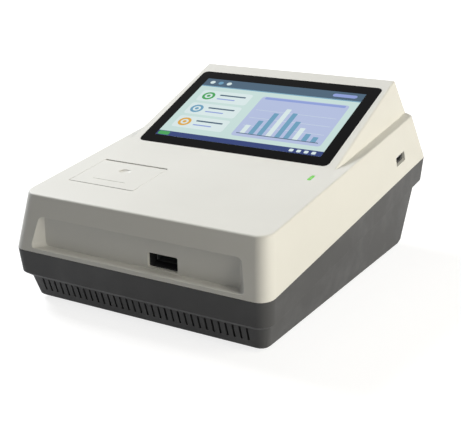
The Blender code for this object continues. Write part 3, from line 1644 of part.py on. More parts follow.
def add_side_port(parent):
    """The flat data port at the pocket's rear, the black surround round it, and its small board."""
    mouth = SURROUND_THICKNESS - SIDE_POCKET_DEPTH
    rear = mouth - PLUG_SHELL_LENGTH
    shell = block(
        (rear, mouth), about(0, PLUG_SHELL_WIDTH), about(0, PLUG_SHELL_HEIGHT)
    )
    cavity = plug_port_cavity("X", (0, 0), mouth, PLUG_SHELL_LENGTH - PLUG_BACK)
    piece("side_data_port", "steel", [shell], [cavity], parent=parent)
    surround = slab(
        "X",
        about(0, SIDE_POCKET_LENGTH - 2 * SEAT_GAP),
        about(0, SIDE_POCKET_HEIGHT - 2 * SEAT_GAP),
        (SEAT_GAP - SIDE_POCKET_DEPTH, mouth),
        SIDE_POCKET_CORNER,
    )
    window = block(
        (-SIDE_POCKET_DEPTH, mouth + OVERRUN),
        about(0, PLUG_SHELL_WIDTH + 2 * SEAT_GAP),
        about(0, PLUG_SHELL_HEIGHT + 2 * SEAT_GAP),
    )
    piece("side_port_surround", "black_plastic", [surround], [window], parent=parent)
    top = -PLUG_SHELL_HEIGHT / 2 - SEAT_GAP
    outer = -SIDE_POCKET_DEPTH - CASE_WALL - SEAT_GAP
    board = block(
        (outer - SIDE_BOARD_SIZE, outer), about(0, SIDE_BOARD_SIZE), (top - BOARD_THICKNESS, top)
    )
    piece("side_port_board", "board", [board], parent=parent)


# The boards, ports, power inlet and fan in the base

BOARD_SIDE_IN = 0.026
MAIN_BOARD_WIDTH = 0.092
MAIN_BOARD_LENGTH = 0.0985
MAIN_BOARD_REAR_IN = 0.0020
SUPPLY_BOARD_WIDTH = 0.058
SUPPLY_BOARD_LENGTH = 0.072
SUPPLY_BOARD_REAR_IN = 0.0225
BOARD_HOLE_IN = 0.004
SINK_SIDE = 0.030
SINK_HEIGHT = 0.014
SINK_BASE = 0.003
SINK_FINS = 8
SINK_FIN_SHARE = 0.45
DATA_PORT_IN = 0.044
DATA_PORT_WIDTH = 0.0146
DATA_PORT_HEIGHT = 0.0156
DATA_PORT_LENGTH = 0.0180
DATA_PORT_PITCH = 0.0075
NETWORK_IN = 0.020
NETWORK_WIDTH = 0.0160
NETWORK_HEIGHT = 0.0135
NETWORK_LENGTH = 0.0210
NETWORK_CAVITY_WIDTH = 0.0118
NETWORK_CAVITY_HEIGHT = 0.0080
NETWORK_CAVITY_DEPTH = 0.0120
NETWORK_LATCH_DROP = 0.0012
NETWORK_LATCH_WIDTH = 0.0040
PORT_PROUD = 0.0004
TRANSFORMER_IN_X = 0.020
TRANSFORMER_IN_Y = 0.030
TRANSFORMER_SIDE = 0.028
TRANSFORMER_CORE = 0.016
TRANSFORMER_HEIGHT = 0.022
COIL_DROP = 0.0032
COIL_CORNER_SHARE = 0.25
CAPACITOR_IN_X = 0.045
CAPACITOR_IN_Y = 0.050
CAPACITOR_RADIUS = 0.008
CAPACITOR_HEIGHT = 0.022
INLET_IN = 0.028
INLET_WIDTH = 0.0272
INLET_HEIGHT = 0.0200
INLET_FLANGE = 0.0018
INLET_FLANGE_THICKNESS = 0.0018
INLET_LENGTH = 0.0200
INLET_WALL = 0.0016
INLET_CAVITY_DEPTH = 0.0150
INLET_PIN_WIDTH = 0.0040
INLET_PIN_THICKNESS = 0.0020
INLET_PIN_SPREAD = 0.0070
INLET_PIN_OFFSET = 0.0020
INLET_CHAMFER = 0.0035
SWITCH_IN = 0.056
SWITCH_WIDTH = 0.0126
SWITCH_HEIGHT = 0.0188
SWITCH_FLANGE = 0.0014
SWITCH_FLANGE_THICKNESS = 0.0014
SWITCH_LENGTH = 0.0150
SWITCH_WALL = 0.0012
SWITCH_DEPTH = 0.0100
ROCKER_GAP = 0.0004
ROCKER_TILT = math.radians(8)
ROCKER_PROUD = 0.0014
ROCKER_REACH_SHARE = 0.88
FAN_SIDE = 0.030
FAN_DEPTH = 0.0100
FAN_IN = 0.017
FAN_BORE_RADIUS = 0.0138
FAN_HUB_RADIUS = 0.0065
FAN_BLADES = 7
FAN_TIP_GAP = 0.0006
FAN_BLADE_THICKNESS = 0.0011
FAN_PITCH = math.radians(38)
FAN_STRUT = 0.0018
FAN_ARMS = 3
FAN_CORNER = 0.0025
FAN_HOLE_RADIUS = 0.0016
FAN_HOLE_IN = 0.0030
FAN_VENTS = 6
FAN_VENT_PITCH = 0.0042
FAN_VENT_HEIGHT = 0.0024
SPEAKER_SIDE_IN = 0.052
SPEAKER_SETBACK = 0.0977
SPEAKER_RADIUS = 0.014
SPEAKER_HEIGHT = 0.0060
SPEAKER_RIM = 0.0018

MAIN_BOARD_X = (BOARD_SIDE_IN - RIGHT, BOARD_SIDE_IN + MAIN_BOARD_WIDTH - RIGHT)
MAIN_BOARD_REAR = BAY_INSIDE - MAIN_BOARD_REAR_IN
MAIN_BOARD_Y = (MAIN_BOARD_REAR - MAIN_BOARD_LENGTH, MAIN_BOARD_REAR)
SUPPLY_BOARD_X = (RIGHT - BOARD_SIDE_IN - SUPPLY_BOARD_WIDTH, RIGHT - BOARD_SIDE_IN)
SUPPLY_BOARD_REAR = BAY_INSIDE - SUPPLY_BOARD_REAR_IN
SUPPLY_BOARD_Y = (SUPPLY_BOARD_REAR - SUPPLY_BOARD_LENGTH, SUPPLY_BOARD_REAR)
DATA_PORT_X = MAIN_BOARD_X[0] + DATA_PORT_IN
NETWORK_X = MAIN_BOARD_X[0] + NETWORK_IN
FAN_X = MAIN_BOARD_X[1] - FAN_IN
INLET_X = SUPPLY_BOARD_X[1] - INLET_IN
SWITCH_X = SUPPLY_BOARD_X[1] - SWITCH_IN
INLET_Z = (BAY_Z[0] + BAY_Z[1]) / 2
FAN_Z = SOLE + BOARD_RISE + BOARD_THICKNESS + SEAT_GAP + FAN_SIDE / 2
TRANSFORMER_X = SUPPLY_BOARD_X[0] + TRANSFORMER_IN_X
TRANSFORMER_Y = SUPPLY_BOARD_Y[0] + TRANSFORMER_IN_Y
CAPACITOR_X = SUPPLY_BOARD_X[0] + CAPACITOR_IN_X
CAPACITOR_Y = SUPPLY_BOARD_Y[0] + CAPACITOR_IN_Y
SPEAKER_X = SPEAKER_SIDE_IN - RIGHT
SPEAKER_Y = FRONT + SPEAKER_SETBACK


def board_top():
    return SOLE + BOARD_RISE + BOARD_THICKNESS


def data_port_z():
    return board_top() + SEAT_GAP + DATA_PORT_HEIGHT / 2


def network_z():
    return board_top() + SEAT_GAP + NETWORK_HEIGHT / 2


def add_board(name, x, y):
    """A circuit board on four pillars, with a screw hole over each."""
    z = (SOLE + BOARD_RISE, board_top())
    through = (z[0] - OVERRUN, z[1] + OVERRUN)
    holes = joined(
        [
            rod("Z", (hx, hy), PILLAR_BORE_RADIUS + SEAT_GAP, through, PIN_STEPS)
            for hx in (x[0] + BOARD_HOLE_IN, x[1] - BOARD_HOLE_IN)
            for hy in (y[0] + BOARD_HOLE_IN, y[1] - BOARD_HOLE_IN)
        ]
    )
    piece(name, "board", [block(x, y, z)], [holes])


def add_heat_sink():
    """The processor's finned heat sink on the main board."""
    x = (MAIN_BOARD_X[0] + MAIN_BOARD_X[1]) / 2
    y = (MAIN_BOARD_Y[0] + MAIN_BOARD_Y[1]) / 2
    low = board_top() + SEAT_GAP
    body = block(about(x, SINK_SIDE), about(y, SINK_SIDE), (low, low + SINK_HEIGHT))
    pitch = SINK_SIDE / (SINK_FINS - 1 + SINK_FIN_SHARE)
    fin = pitch * SINK_FIN_SHARE
    gaps = []
    for i in range(SINK_FINS - 1):
        start = x - SINK_SIDE / 2 + i * pitch + fin
        gaps.append(
            block(
                (start, start + pitch - fin),
                about(y, SINK_SIDE + OVERRUN),
                (low + SINK_BASE, low + SINK_HEIGHT + OVERRUN),
            )
        )
    piece("heat_sink", "aluminium", [body], [joined(gaps)])


def add_rear_ports():
    """The stacked data ports and the network port, on the main board's rear edge."""
    mouth = BAY_FACE + PORT_PROUD
    low = board_top() + SEAT_GAP
    body = block(
        about(DATA_PORT_X, DATA_PORT_WIDTH),
        (mouth - DATA_PORT_LENGTH, mouth),
        (low, low + DATA_PORT_HEIGHT),
    )
    cavities = joined(
        [
            plug_port_cavity(
                "Y",
                (DATA_PORT_X, data_port_z() + side * DATA_PORT_PITCH / 2),
                mouth,
                DATA_PORT_LENGTH - PLUG_BACK,
            )
            for side in (-1, 1)
        ]
    )
    piece("rear_data_ports", "steel", [body], [cavities])
    body = block(
        about(NETWORK_X, NETWORK_WIDTH),
        (mouth - NETWORK_LENGTH, mouth),
        (low, low + NETWORK_HEIGHT),
    )
    span = (mouth - NETWORK_CAVITY_DEPTH, mouth + OVERRUN)
    wide = block(
        about(NETWORK_X, NETWORK_CAVITY_WIDTH),
        span,
        about(network_z() + PLUG_SHELL_WALL, NETWORK_CAVITY_HEIGHT),
    )
    latch_low = network_z() - NETWORK_CAVITY_HEIGHT / 2 - NETWORK_LATCH_DROP
    latch = block(about(NETWORK_X, NETWORK_LATCH_WIDTH), span, (latch_low, network_z()))
    piece("network_port", "steel", [body], [wide, latch])


def add_power_parts():
    """The supply's transformer and capacitor, the mains inlet, and the switch with its rocker."""
    low = board_top() + SEAT_GAP
    core = block(
        about(TRANSFORMER_X, TRANSFORMER_SIDE),
        about(TRANSFORMER_Y, TRANSFORMER_CORE),
        (low, low + TRANSFORMER_HEIGHT),
    )
    coil = slab(
        "Z",
        about(TRANSFORMER_X, TRANSFORMER_CORE),
        about(TRANSFORMER_Y, TRANSFORMER_SIDE),
        (low, low + TRANSFORMER_HEIGHT - COIL_DROP),
        TRANSFORMER_CORE * COIL_CORNER_SHARE,
    )
    piece("supply_transformer", "copper", [core, coil])
    can = turned(
        "Z",
        (CAPACITOR_X, CAPACITOR_Y),
        (
            (CAPACITOR_RADIUS, low),
            (CAPACITOR_RADIUS, low + CAPACITOR_HEIGHT - SINK),
            (CAPACITOR_RADIUS - SINK, low + CAPACITOR_HEIGHT),
        ),
    )
    piece("supply_capacitor", "black_plastic", [can])
    add_mains_inlet()
    add_power_switch()


def inlet_outline(width, height):
    """The inlet's mouth: a rectangle whose two upper corners are cut off."""
    x = width / 2
    low = INLET_Z - height / 2
    high = INLET_Z + height / 2
    cut = INLET_CHAMFER
    points = ((-x, low), (x, low), (x, high - cut), (x - cut, high), (cut - x, high), (-x, high - cut))
    return [(INLET_X + u, v) for u, v in points]


def add_mains_inlet():
    face = BAY_FACE + SEAT_GAP
    mouth = face + INLET_FLANGE_THICKNESS
    flange = slab(
        "Y",
        about(INLET_X, INLET_WIDTH + 2 * INLET_FLANGE),
        about(INLET_Z, INLET_HEIGHT + 2 * INLET_FLANGE),
        (face, mouth),
        INLET_FLANGE,
    )
    body = block(
        about(INLET_X, INLET_WIDTH), (mouth - INLET_LENGTH, face + SINK), about(INLET_Z, INLET_HEIGHT)
    )
    width = INLET_WIDTH - 2 * INLET_WALL
    height = INLET_HEIGHT - 2 * INLET_WALL
    cavity = prism(
        "Y", inlet_outline(width, height), (mouth - INLET_CAVITY_DEPTH, mouth + OVERRUN)
    )
    pin_places = (
        (-INLET_PIN_SPREAD, -INLET_PIN_OFFSET),
        (INLET_PIN_SPREAD, -INLET_PIN_OFFSET),
        (0, INLET_PIN_OFFSET),
    )
    pins = joined(
        [
            block(
                about(INLET_X + u, INLET_PIN_THICKNESS),
                (mouth - INLET_LENGTH, mouth - INLET_WALL),
                about(INLET_Z + v, INLET_PIN_WIDTH),
            )
            for u, v in pin_places
        ]
    )
    piece("mains_inlet", "black_plastic", [flange, body], [carved([cavity], [pins])])


def add_power_switch():
    """The switch's frame in the bay's panel, and the rocker that tips in it."""
    face = BAY_FACE + SEAT_GAP
    mouth = face + SWITCH_FLANGE_THICKNESS
    flange = slab(
        "Y",
        about(SWITCH_X, SWITCH_WIDTH + 2 * SWITCH_FLANGE),
        about(INLET_Z, SWITCH_HEIGHT + 2 * SWITCH_FLANGE),
        (face, mouth),
        SWITCH_FLANGE,
    )
    body = block(
        about(SWITCH_X, SWITCH_WIDTH),
        (mouth - SWITCH_LENGTH, face + SINK),
        about(INLET_Z, SWITCH_HEIGHT),
    )
    width = SWITCH_WIDTH - 2 * SWITCH_WALL
    height = SWITCH_HEIGHT - 2 * SWITCH_WALL
    room = block(
        about(SWITCH_X, width), (mouth - SWITCH_DEPTH, mouth + OVERRUN), about(INLET_Z, height)
    )
    piece("switch_frame", "black_plastic", [flange, body], [room])
    axis_y = mouth - SWITCH_DEPTH / 2
    reach = height / 2 - ROCKER_GAP
    outline = rocker_outline(reach)
    half_x = width / 2 - ROCKER_GAP
    rocker = prism("X", [(u + axis_y, v + INLET_Z) for u, v in outline], about(SWITCH_X, 2 * half_x))
    piece("power_rocker", "black_plastic", [rocker], pivot=(SWITCH_X, axis_y, INLET_Z))


def rocker_outline(reach):
    """The rocker from the side, round its axis: two faces that meet in a shallow valley. At rest
    its upper end is pressed in."""
    out = SWITCH_DEPTH / 2 + ROCKER_PROUD
    face = []
    for share, depth in ((-1, 0), (0, SINK * 2), (1, 0)):
        face.append(Vector((out - depth, reach * ROCKER_REACH_SHARE * share)))
    back = (
        Vector((-ROCKER_PROUD, reach * ROCKER_REACH_SHARE)),
        Vector((-ROCKER_PROUD, -reach * ROCKER_REACH_SHARE)),
    )
    turn = Matrix.Rotation(ROCKER_TILT, 2)
    return [tuple(turn @ point) for point in (*face, *back)]


def add_fan():
    """The fan's square frame behind the vents, and its rotor on the hub."""
    rear = BAY_INSIDE - SEAT_GAP
    front = rear - FAN_DEPTH
    shell = slab("Y", about(FAN_X, FAN_SIDE), about(FAN_Z, FAN_SIDE), (front, rear), FAN_CORNER)
    barrel = turned(
        "Y",
        (FAN_X, FAN_Z),
        (
            (FAN_BORE_RADIUS, front - OVERRUN),
            (FAN_BORE_RADIUS, rear + OVERRUN),
        ),
    )
    struts = [rod("Y", (FAN_X, FAN_Z), FAN_HUB_RADIUS, (front, front + FAN_STRUT))]
    for i in range(FAN_ARMS):
        arm = block((0, FAN_SIDE / 2), (front, front + FAN_STRUT), about(0, FAN_STRUT))
        turn = Matrix.Rotation(math.tau * i / FAN_ARMS, 4, "Y")
        struts.append(moved(arm, Matrix.Translation((FAN_X, 0, FAN_Z)) @ turn))
    offset = FAN_SIDE / 2 - FAN_HOLE_IN
    through = (front - OVERRUN, rear + OVERRUN)
    holes = joined(
        [
            rod("Y", (FAN_X + u * offset, FAN_Z + v * offset), FAN_HOLE_RADIUS, through, PIN_STEPS)
            for u in (-1, 1)
            for v in (-1, 1)
        ]
    )
    piece("fan_frame", "black_plastic", [shell], [carved([barrel], struts), holes])
    hub_y = (front + FAN_STRUT + SEAT_GAP, rear - SEAT_GAP)
    hub = rod("Y", (FAN_X, FAN_Z), FAN_HUB_RADIUS - FAN_TIP_GAP, hub_y)
    adds = [hub]
    blade_length = hub_y[1] - hub_y[0] - FAN_TIP_GAP * 2
    middle = (hub_y[0] + hub_y[1]) / 2
    for i in range(FAN_BLADES):
        blade = block(
            (FAN_HUB_RADIUS / 2, FAN_BORE_RADIUS - FAN_TIP_GAP * 2),
            about(0, blade_length * math.cos(FAN_PITCH)),
            about(0, FAN_BLADE_THICKNESS),
        )
        pitch = Matrix.Rotation(FAN_PITCH, 4, "X")
        turn = Matrix.Rotation(math.tau * i / FAN_BLADES, 4, "Y")
        adds.append(moved(blade, Matrix.Translation((FAN_X, middle, FAN_Z)) @ turn @ pitch))
    piece("fan_rotor", "black_plastic", adds, pivot=(FAN_X, middle, FAN_Z))


def add_speaker():
    """The speaker, face down over its slots in the floor."""
    low = INNER_FLOOR + SEAT_GAP
    profile = (
        (SPEAKER_RADIUS, low),
        (SPEAKER_RADIUS, low + SPEAKER_RIM),
        (SPEAKER_RADIUS / 2, low + SPEAKER_HEIGHT - SPEAKER_RIM),
        (SPEAKER_RADIUS / 2, low + SPEAKER_HEIGHT),
    )
    piece("speaker", "black_plastic", [turned("Z", (SPEAKER_X, SPEAKER_Y), profile)])


def build():
    clear_scene()
    places = add_places()
    add_upper_housing(places)
    add_lower_base()
    add_feet()
    add_display(places["display"])
    add_status_light(places["light"])
    add_printer_lid(places["printer"])
    add_hinge_pin(places["printer"])
    add_platen(places["printer"])
    add_paper_well(places["printer"])
    add_printer_frame(places["printer"])
    add_port_bezel(places["reader"])
    add_card_tray(places["reader"])
    add_reader_chassis(places["reader"])
    add_lead_screw(places["reader"])
    add_sensor(places["reader"])
    add_side_port(places["side"])
    add_board("main_board", MAIN_BOARD_X, MAIN_BOARD_Y)
    add_board("supply_board", SUPPLY_BOARD_X, SUPPLY_BOARD_Y)
    add_heat_sink()
    add_rear_ports()
    add_power_parts()
    add_fan()
    add_speaker()


build()
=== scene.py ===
"""The looks of a bench-top test card analyzer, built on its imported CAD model."""

import math

import bpy
from mathutils import Matrix, Vector


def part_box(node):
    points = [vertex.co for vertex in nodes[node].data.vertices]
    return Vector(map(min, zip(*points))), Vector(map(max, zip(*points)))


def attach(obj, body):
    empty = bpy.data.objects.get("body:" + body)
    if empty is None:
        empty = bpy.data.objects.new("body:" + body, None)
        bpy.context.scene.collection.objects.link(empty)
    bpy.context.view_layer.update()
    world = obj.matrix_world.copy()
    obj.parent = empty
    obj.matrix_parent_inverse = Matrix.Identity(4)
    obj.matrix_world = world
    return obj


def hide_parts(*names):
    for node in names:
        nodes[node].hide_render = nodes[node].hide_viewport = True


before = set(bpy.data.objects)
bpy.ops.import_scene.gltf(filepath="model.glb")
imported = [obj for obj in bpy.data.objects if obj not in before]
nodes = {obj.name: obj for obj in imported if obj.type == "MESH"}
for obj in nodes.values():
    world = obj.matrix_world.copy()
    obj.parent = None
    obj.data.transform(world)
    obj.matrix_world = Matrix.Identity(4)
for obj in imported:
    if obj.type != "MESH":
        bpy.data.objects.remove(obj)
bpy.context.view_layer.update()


# The upper housing is one moulding in off-white plastic with a fine satin texture. Its walls
# lean inwards for the mould, and every edge is slightly rounded by the tool.
WELD_REACH = 0.00002
FLAT_ANGLE = math.radians(0.6)


def smoothed(node, name, edge=0.0, crease=30, limit=35):
    """A copy of a CAD piece: its triangles are joined, and its edges rounded by edge metres."""
    bpy.ops.object.select_all(action="DESELECT")
    copy = bpy.data.objects.new(name, nodes[node].data.copy())
    bpy.context.scene.collection.objects.link(copy)
    copy.select_set(True)
    bpy.context.view_layer.objects.active = copy
    bpy.ops.mesh.customdata_custom_splitnormals_clear()
    bpy.ops.object.mode_set(mode="EDIT")
    bpy.ops.mesh.select_all(action="SELECT")
    bpy.ops.mesh.remove_doubles(threshold=WELD_REACH)
    bpy.ops.mesh.dissolve_limited(angle_limit=FLAT_ANGLE)
    bpy.ops.object.mode_set(mode="OBJECT")
    if edge:
        rounding = copy.modifiers.new("edges", "BEVEL")
        rounding.width = edge
        rounding.segments = 2
        rounding.angle_limit = math.radians(limit)
        rounding.harden_normals = False
        bpy.ops.object.modifier_apply(modifier=rounding.name)
    bpy.ops.object.shade_smooth_by_angle(angle=math.radians(crease))
    weigh = copy.modifiers.new("weigh", "WEIGHTED_NORMAL")
    weigh.keep_sharp = True
    bpy.ops.object.modifier_apply(modifier=weigh.name)
    return copy


def settle(piece, body, slot, *covers):
    """Hangs a finished piece on its body, in place of the CAD pieces that it covers."""
    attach(piece, body)
    if covers:
        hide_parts(*covers)


def put(tree, kind, inputs=None, **settings):
    """A shader node with its settings, and its inputs given as values or as other sockets."""
    made = tree.nodes.new("ShaderNode" + kind)
    for key, value in settings.items():
        setattr(made, key, value)
    for key, value in (inputs or {}).items():
        if isinstance(value, bpy.types.NodeSocket):
            tree.links.new(value, made.inputs[key])
        else:
            made.inputs[key].default_value = value
    return made


def effect(name, inputs, outputs):
    """An empty effect group with named sockets; returns the tree, its inputs and its outputs."""
    tree = bpy.data.node_groups.new(name, "ShaderNodeTree")
    for label, kind, value in inputs:
        socket = tree.interface.new_socket(label, in_out="INPUT", socket_type="NodeSocket" + kind)
        socket.default_value = value
    for label, kind in outputs:
        tree.interface.new_socket(label, in_out="OUTPUT", socket_type="NodeSocket" + kind)
    ends = (tree.nodes.new("NodeGroupInput"), tree.nodes.new("NodeGroupOutput"))
    return tree, ends[0].outputs, ends[1].inputs


moulded_grain, given, gives = effect(
    "moulded grain", [("Scale", "Float", 1900.0), ("Drift", "Float", 14.0)],
    [("Height", "Float"), ("Tone", "Float")],
)
where = put(moulded_grain, "TexCoord").outputs["Object"]
fine = put(moulded_grain, "TexNoise", {"Vector": where, "Scale": given["Scale"], "Detail": 2.0})
wide = put(moulded_grain, "TexNoise", {"Vector": where, "Scale": given["Drift"], "Detail": 3.0})
moulded_grain.links.new(fine.outputs["Fac"], gives["Height"])
tone = put(
    moulded_grain, "MapRange", {"Value": wide.outputs["Fac"], "From Min": 0.3, "From Max": 0.7}
)
moulded_grain.links.new(tone.outputs["Result"], gives["Tone"])

hand_marks, given, gives = effect(
    "hand marks", [("Scale", "Float", 30.0), ("Amount", "Float", 1.0)], [("Mask", "Float")]
)
where = put(hand_marks, "TexCoord").outputs["Object"]
cloud = put(
    hand_marks, "TexNoise",
    {"Vector": where, "Scale": given["Scale"], "Detail": 6.0, "Roughness": 0.62},
)
patch = put(
    hand_marks, "MapRange", {"Value": cloud.outputs["Fac"], "From Min": 0.46, "From Max": 0.72}
)
mark = put(
    hand_marks, "Math", {0: patch.outputs["Result"], 1: given["Amount"]}, operation="MULTIPLY"
)
hand_marks.links.new(mark.outputs[0], gives["Mask"])

worn_edges, given, gives = effect(
    "worn edges", [("Reach", "Float", 0.0006), ("Amount", "Float", 1.0)], [("Mask", "Float")]
)
round_normal = put(worn_edges, "Bevel", {"Radius": given["Reach"]}, samples=6)
flat_normal = put(worn_edges, "NewGeometry").outputs["Normal"]
dot = put(
    worn_edges, "VectorMath", {0: round_normal.outputs[0], 1: flat_normal},
    operation="DOT_PRODUCT",
)
turn = put(
    worn_edges, "MapRange", {"Value": dot.outputs["Value"], "From Min": 0.995, "From Max": 0.86}
)
worn = put(
    worn_edges, "Math", {0: turn.outputs["Result"], 1: given["Amount"]}, operation="MULTIPLY"
)
worn_edges.links.new(worn.outputs[0], gives["Mask"])


def use(tree, group, **values):
    """An effect group placed in a material, with its own values."""
    made = tree.nodes.new("ShaderNodeGroup")
    made.node_tree = group
    for key, value in values.items():
        made.inputs[key].default_value = value
    return made.outputs


def blank(name):
    """A new material, and its tree and its shader."""
    made = bpy.data.materials.new(name)
    made.use_nodes = True
    return made, made.node_tree, made.node_tree.nodes["Principled BSDF"]


def blend(tree, share, first, second):
    """Two colours mixed by a mask."""
    mix = put(tree, "Mix", {"Factor": share}, data_type="RGBA")
    for key, value in ((6, first), (7, second)):
        if isinstance(value, bpy.types.NodeSocket):
            tree.links.new(value, mix.inputs[key])
        else:
            mix.inputs[key].default_value = (*value, 1)
    return mix.outputs[2]


def moulded(name, colour, drift, worn, rough=(0.42, 0.55), grain=1900.0, depth=0.00004):
    """Moulded plastic: its colour drifts a little, its edges are worn and hands leave marks."""
    made, tree, shader = blank(name)
    shader.inputs["Specular IOR Level"].default_value = 0.25
    surface = use(tree, moulded_grain, Scale=grain)
    edges = use(tree, worn_edges)["Mask"]
    marks = use(tree, hand_marks)["Mask"]
    body = blend(tree, surface["Tone"], colour, drift)
    tree.links.new(blend(tree, edges, body, worn), shader.inputs["Base Color"])
    polish = put(tree, "MapRange", {"Value": marks, "To Min": rough[1], "To Max": rough[0]})
    tree.links.new(polish.outputs["Result"], shader.inputs["Roughness"])
    bump = put(tree, "Bump", {"Height": surface["Height"], "Strength": 0.35, "Distance": depth})
    tree.links.new(bump.outputs["Normal"], shader.inputs["Normal"])
    return made


def finish(piece, material):
    if not piece.material_slots:
        piece.data.materials.append(None)
    for slot in piece.material_slots:
        slot.material = material


white = moulded("white plastic", (0.79, 0.785, 0.745), (0.76, 0.755, 0.715), (0.84, 0.835, 0.80))
housing = smoothed("upper_housing", "housing_shell", edge=0.0004)
finish(housing, white)
settle(housing, "case", "white_plastic", "upper_housing")

# The base is a second moulding, in charcoal plastic with a coarser texture. It has a lip under
# the seam, a step, and upright slots along the front for air.
charcoal = moulded(
    "charcoal plastic", (0.086, 0.087, 0.090), (0.074, 0.075, 0.078), (0.15, 0.15, 0.155),
    rough=(0.46, 0.62), grain=1300.0, depth=0.00006,
)
base = smoothed("lower_base", "base_shell", edge=0.0004)
finish(base, charcoal)
settle(base, "case", "dark_plastic", "lower_base")

# Each of the four feet is a moulded disc of black rubber with a matt, dusty skin. It is
# pressed into a socket in the floor of the base.
rubber, tree, shader = blank("black rubber")
surface = use(tree, moulded_grain, Scale=900.0)
dust = use(tree, hand_marks, Scale=160.0)["Mask"]
tree.links.new(
    blend(tree, dust, (0.022, 0.022, 0.023), (0.085, 0.082, 0.078)), shader.inputs["Base Color"]
)
shader.inputs["Roughness"].default_value = 0.82
bump = put(tree, "Bump", {"Height": surface["Height"], "Strength": 0.5, "Distance": 0.00012})
tree.links.new(bump.outputs["Normal"], shader.inputs["Normal"])
for side in ("front_left", "rear_left", "front_right", "rear_right"):
    foot = smoothed(f"foot_{side}", f"foot_pad_{side}", edge=0.0003)
    finish(foot, rubber)
    settle(foot, "case", "rubber", f"foot_{side}")

# The display's cover is black-backed glass, bonded flush in its seat. Behind its clear window
# the panel shows a plain working page of bars, rings and cards.
glass, tree, shader = blank("black-backed glass")
smear = use(tree, hand_marks, Scale=55.0, Amount=0.5)["Mask"]
tree.links.new(
    blend(tree, smear, (0.002, 0.002, 0.0025), (0.004, 0.004, 0.0045)), shader.inputs["Base Color"]
)
shine = put(tree, "MapRange", {"Value": smear, "To Min": 0.05, "To Max": 0.16})
tree.links.new(shine.outputs["Result"], shader.inputs["Roughness"])
shader.inputs["Specular IOR Level"].default_value = 0.03
cover = smoothed("display_glass", "display_cover", edge=0.00025)
finish(cover, glass)
settle(cover, "case", "glass_black", "display_glass")

GLASS_CENTRE = Vector((0, 0.040292, 0.122555))
GLASS_TILT = 0.36972
GLASS_LENGTH = 0.1149
GLASS_TOP = 0.0001
SCREEN_WIDTH = 0.1536
SCREEN_HEIGHT = 0.0926
SCREEN_MARGIN = 0.0108
LAYER_STEP = 0.00002
screen_parts = []


def tile(x, y, width, height, corner, layer, colour, steps=4):
    """A flat rounded rectangle on the screen, drawn about its middle in screen metres."""
    bpy.ops.object.select_all(action="DESELECT")
    bpy.ops.mesh.primitive_plane_add(size=1, location=(x, y, GLASS_TOP + LAYER_STEP * (layer + 1)))
    part = bpy.context.object
    part.scale = (width, height, 1)
    bpy.ops.object.transform_apply(location=True, rotation=True, scale=True)
    if corner:
        bpy.ops.object.mode_set(mode="EDIT")
        bpy.ops.mesh.select_all(action="SELECT")
        bpy.ops.mesh.bevel(offset=corner, segments=steps, affect="VERTICES")
        bpy.ops.object.mode_set(mode="OBJECT")
    tint = part.data.color_attributes.new("tint", "FLOAT_COLOR", "CORNER")
    for corner_tint in tint.data:
        corner_tint.color = (*colour, 1)
    screen_parts.append(part)


def disc(x, y, radius, layer, colour):
    tile(x, y, 2 * radius, 2 * radius, radius * 0.98, layer, colour, steps=7)


MINT = (0.63, 0.80, 0.76)
SLATE = (0.075, 0.135, 0.20)
LAVENDER = (0.30, 0.38, 0.74)
SKY = (0.17, 0.38, 0.55)
HAZE = (0.50, 0.57, 0.80)
NAVY = (0.035, 0.06, 0.21)
LEAF = (0.07, 0.40, 0.11)
PAPER = (0.76, 0.88, 0.87)
AMBER = (0.80, 0.42, 0.06)
HEADER_MIDDLE = 0.0405
FOOTER_MIDDLE = -0.0430
CHART_MIDDLE = 0.0300
CHART_WIDTH = 0.0810
CHART_HEIGHT = 0.0610
CHART_LINE = 0.0740
CHART_FOOT = -0.0290
BAR_RISES = (0.012, 0.020, 0.033, 0.041, 0.036, 0.025, 0.017, 0.010, 0.007)
BAR_PITCH = 0.0080
BAR_WIDTH = 0.0046
CARD_PITCH = 0.0210
RING_MIDDLE = -0.0610
tile(0, 0, SCREEN_WIDTH, SCREEN_HEIGHT, 0, 0, MINT)
tile(0, HEADER_MIDDLE, SCREEN_WIDTH, 0.0116, 0, 1, SLATE)
tile(0, 0.0340, SCREEN_WIDTH, 0.0012, 0, 1, SKY)
for i, colour in enumerate((PAPER, SKY, PAPER)):
    disc(-0.069 + 0.0085 * i, HEADER_MIDDLE, 0.0024, 2, colour)
tile(0.060, HEADER_MIDDLE, 0.022, 0.0046, 0.0022, 2, LAVENDER)
tile(0, FOOTER_MIDDLE, SCREEN_WIDTH, 0.0066, 0, 1, NAVY)
tile(-0.0700, FOOTER_MIDDLE, 0.0110, 0.0050, 0.0014, 2, LEAF)
for i in range(4):
    tile(0.050 + 0.0065 * i, FOOTER_MIDDLE, 0.0036, 0.0036, 0.0009, 2, PAPER)
tile(CHART_MIDDLE, -0.0035, CHART_WIDTH, CHART_HEIGHT, 0.0030, 1, HAZE)
tile(CHART_MIDDLE, 0.0245, 0.0750, 0.0034, 0.0012, 2, LAVENDER)
for i, rise in enumerate(BAR_RISES):
    colour = SKY if i % 3 else PAPER
    tile(-0.0020 + BAR_PITCH * i, CHART_FOOT + rise / 2, BAR_WIDTH, rise, 0.0006, 2, colour)
tile(CHART_MIDDLE, -0.0296, CHART_LINE, 0.0010, 0, 3, SLATE)
for i in range(3):
    tile(CHART_MIDDLE, -0.0180 + 0.0120 * i, CHART_LINE, 0.0003, 0, 1.5, PAPER)
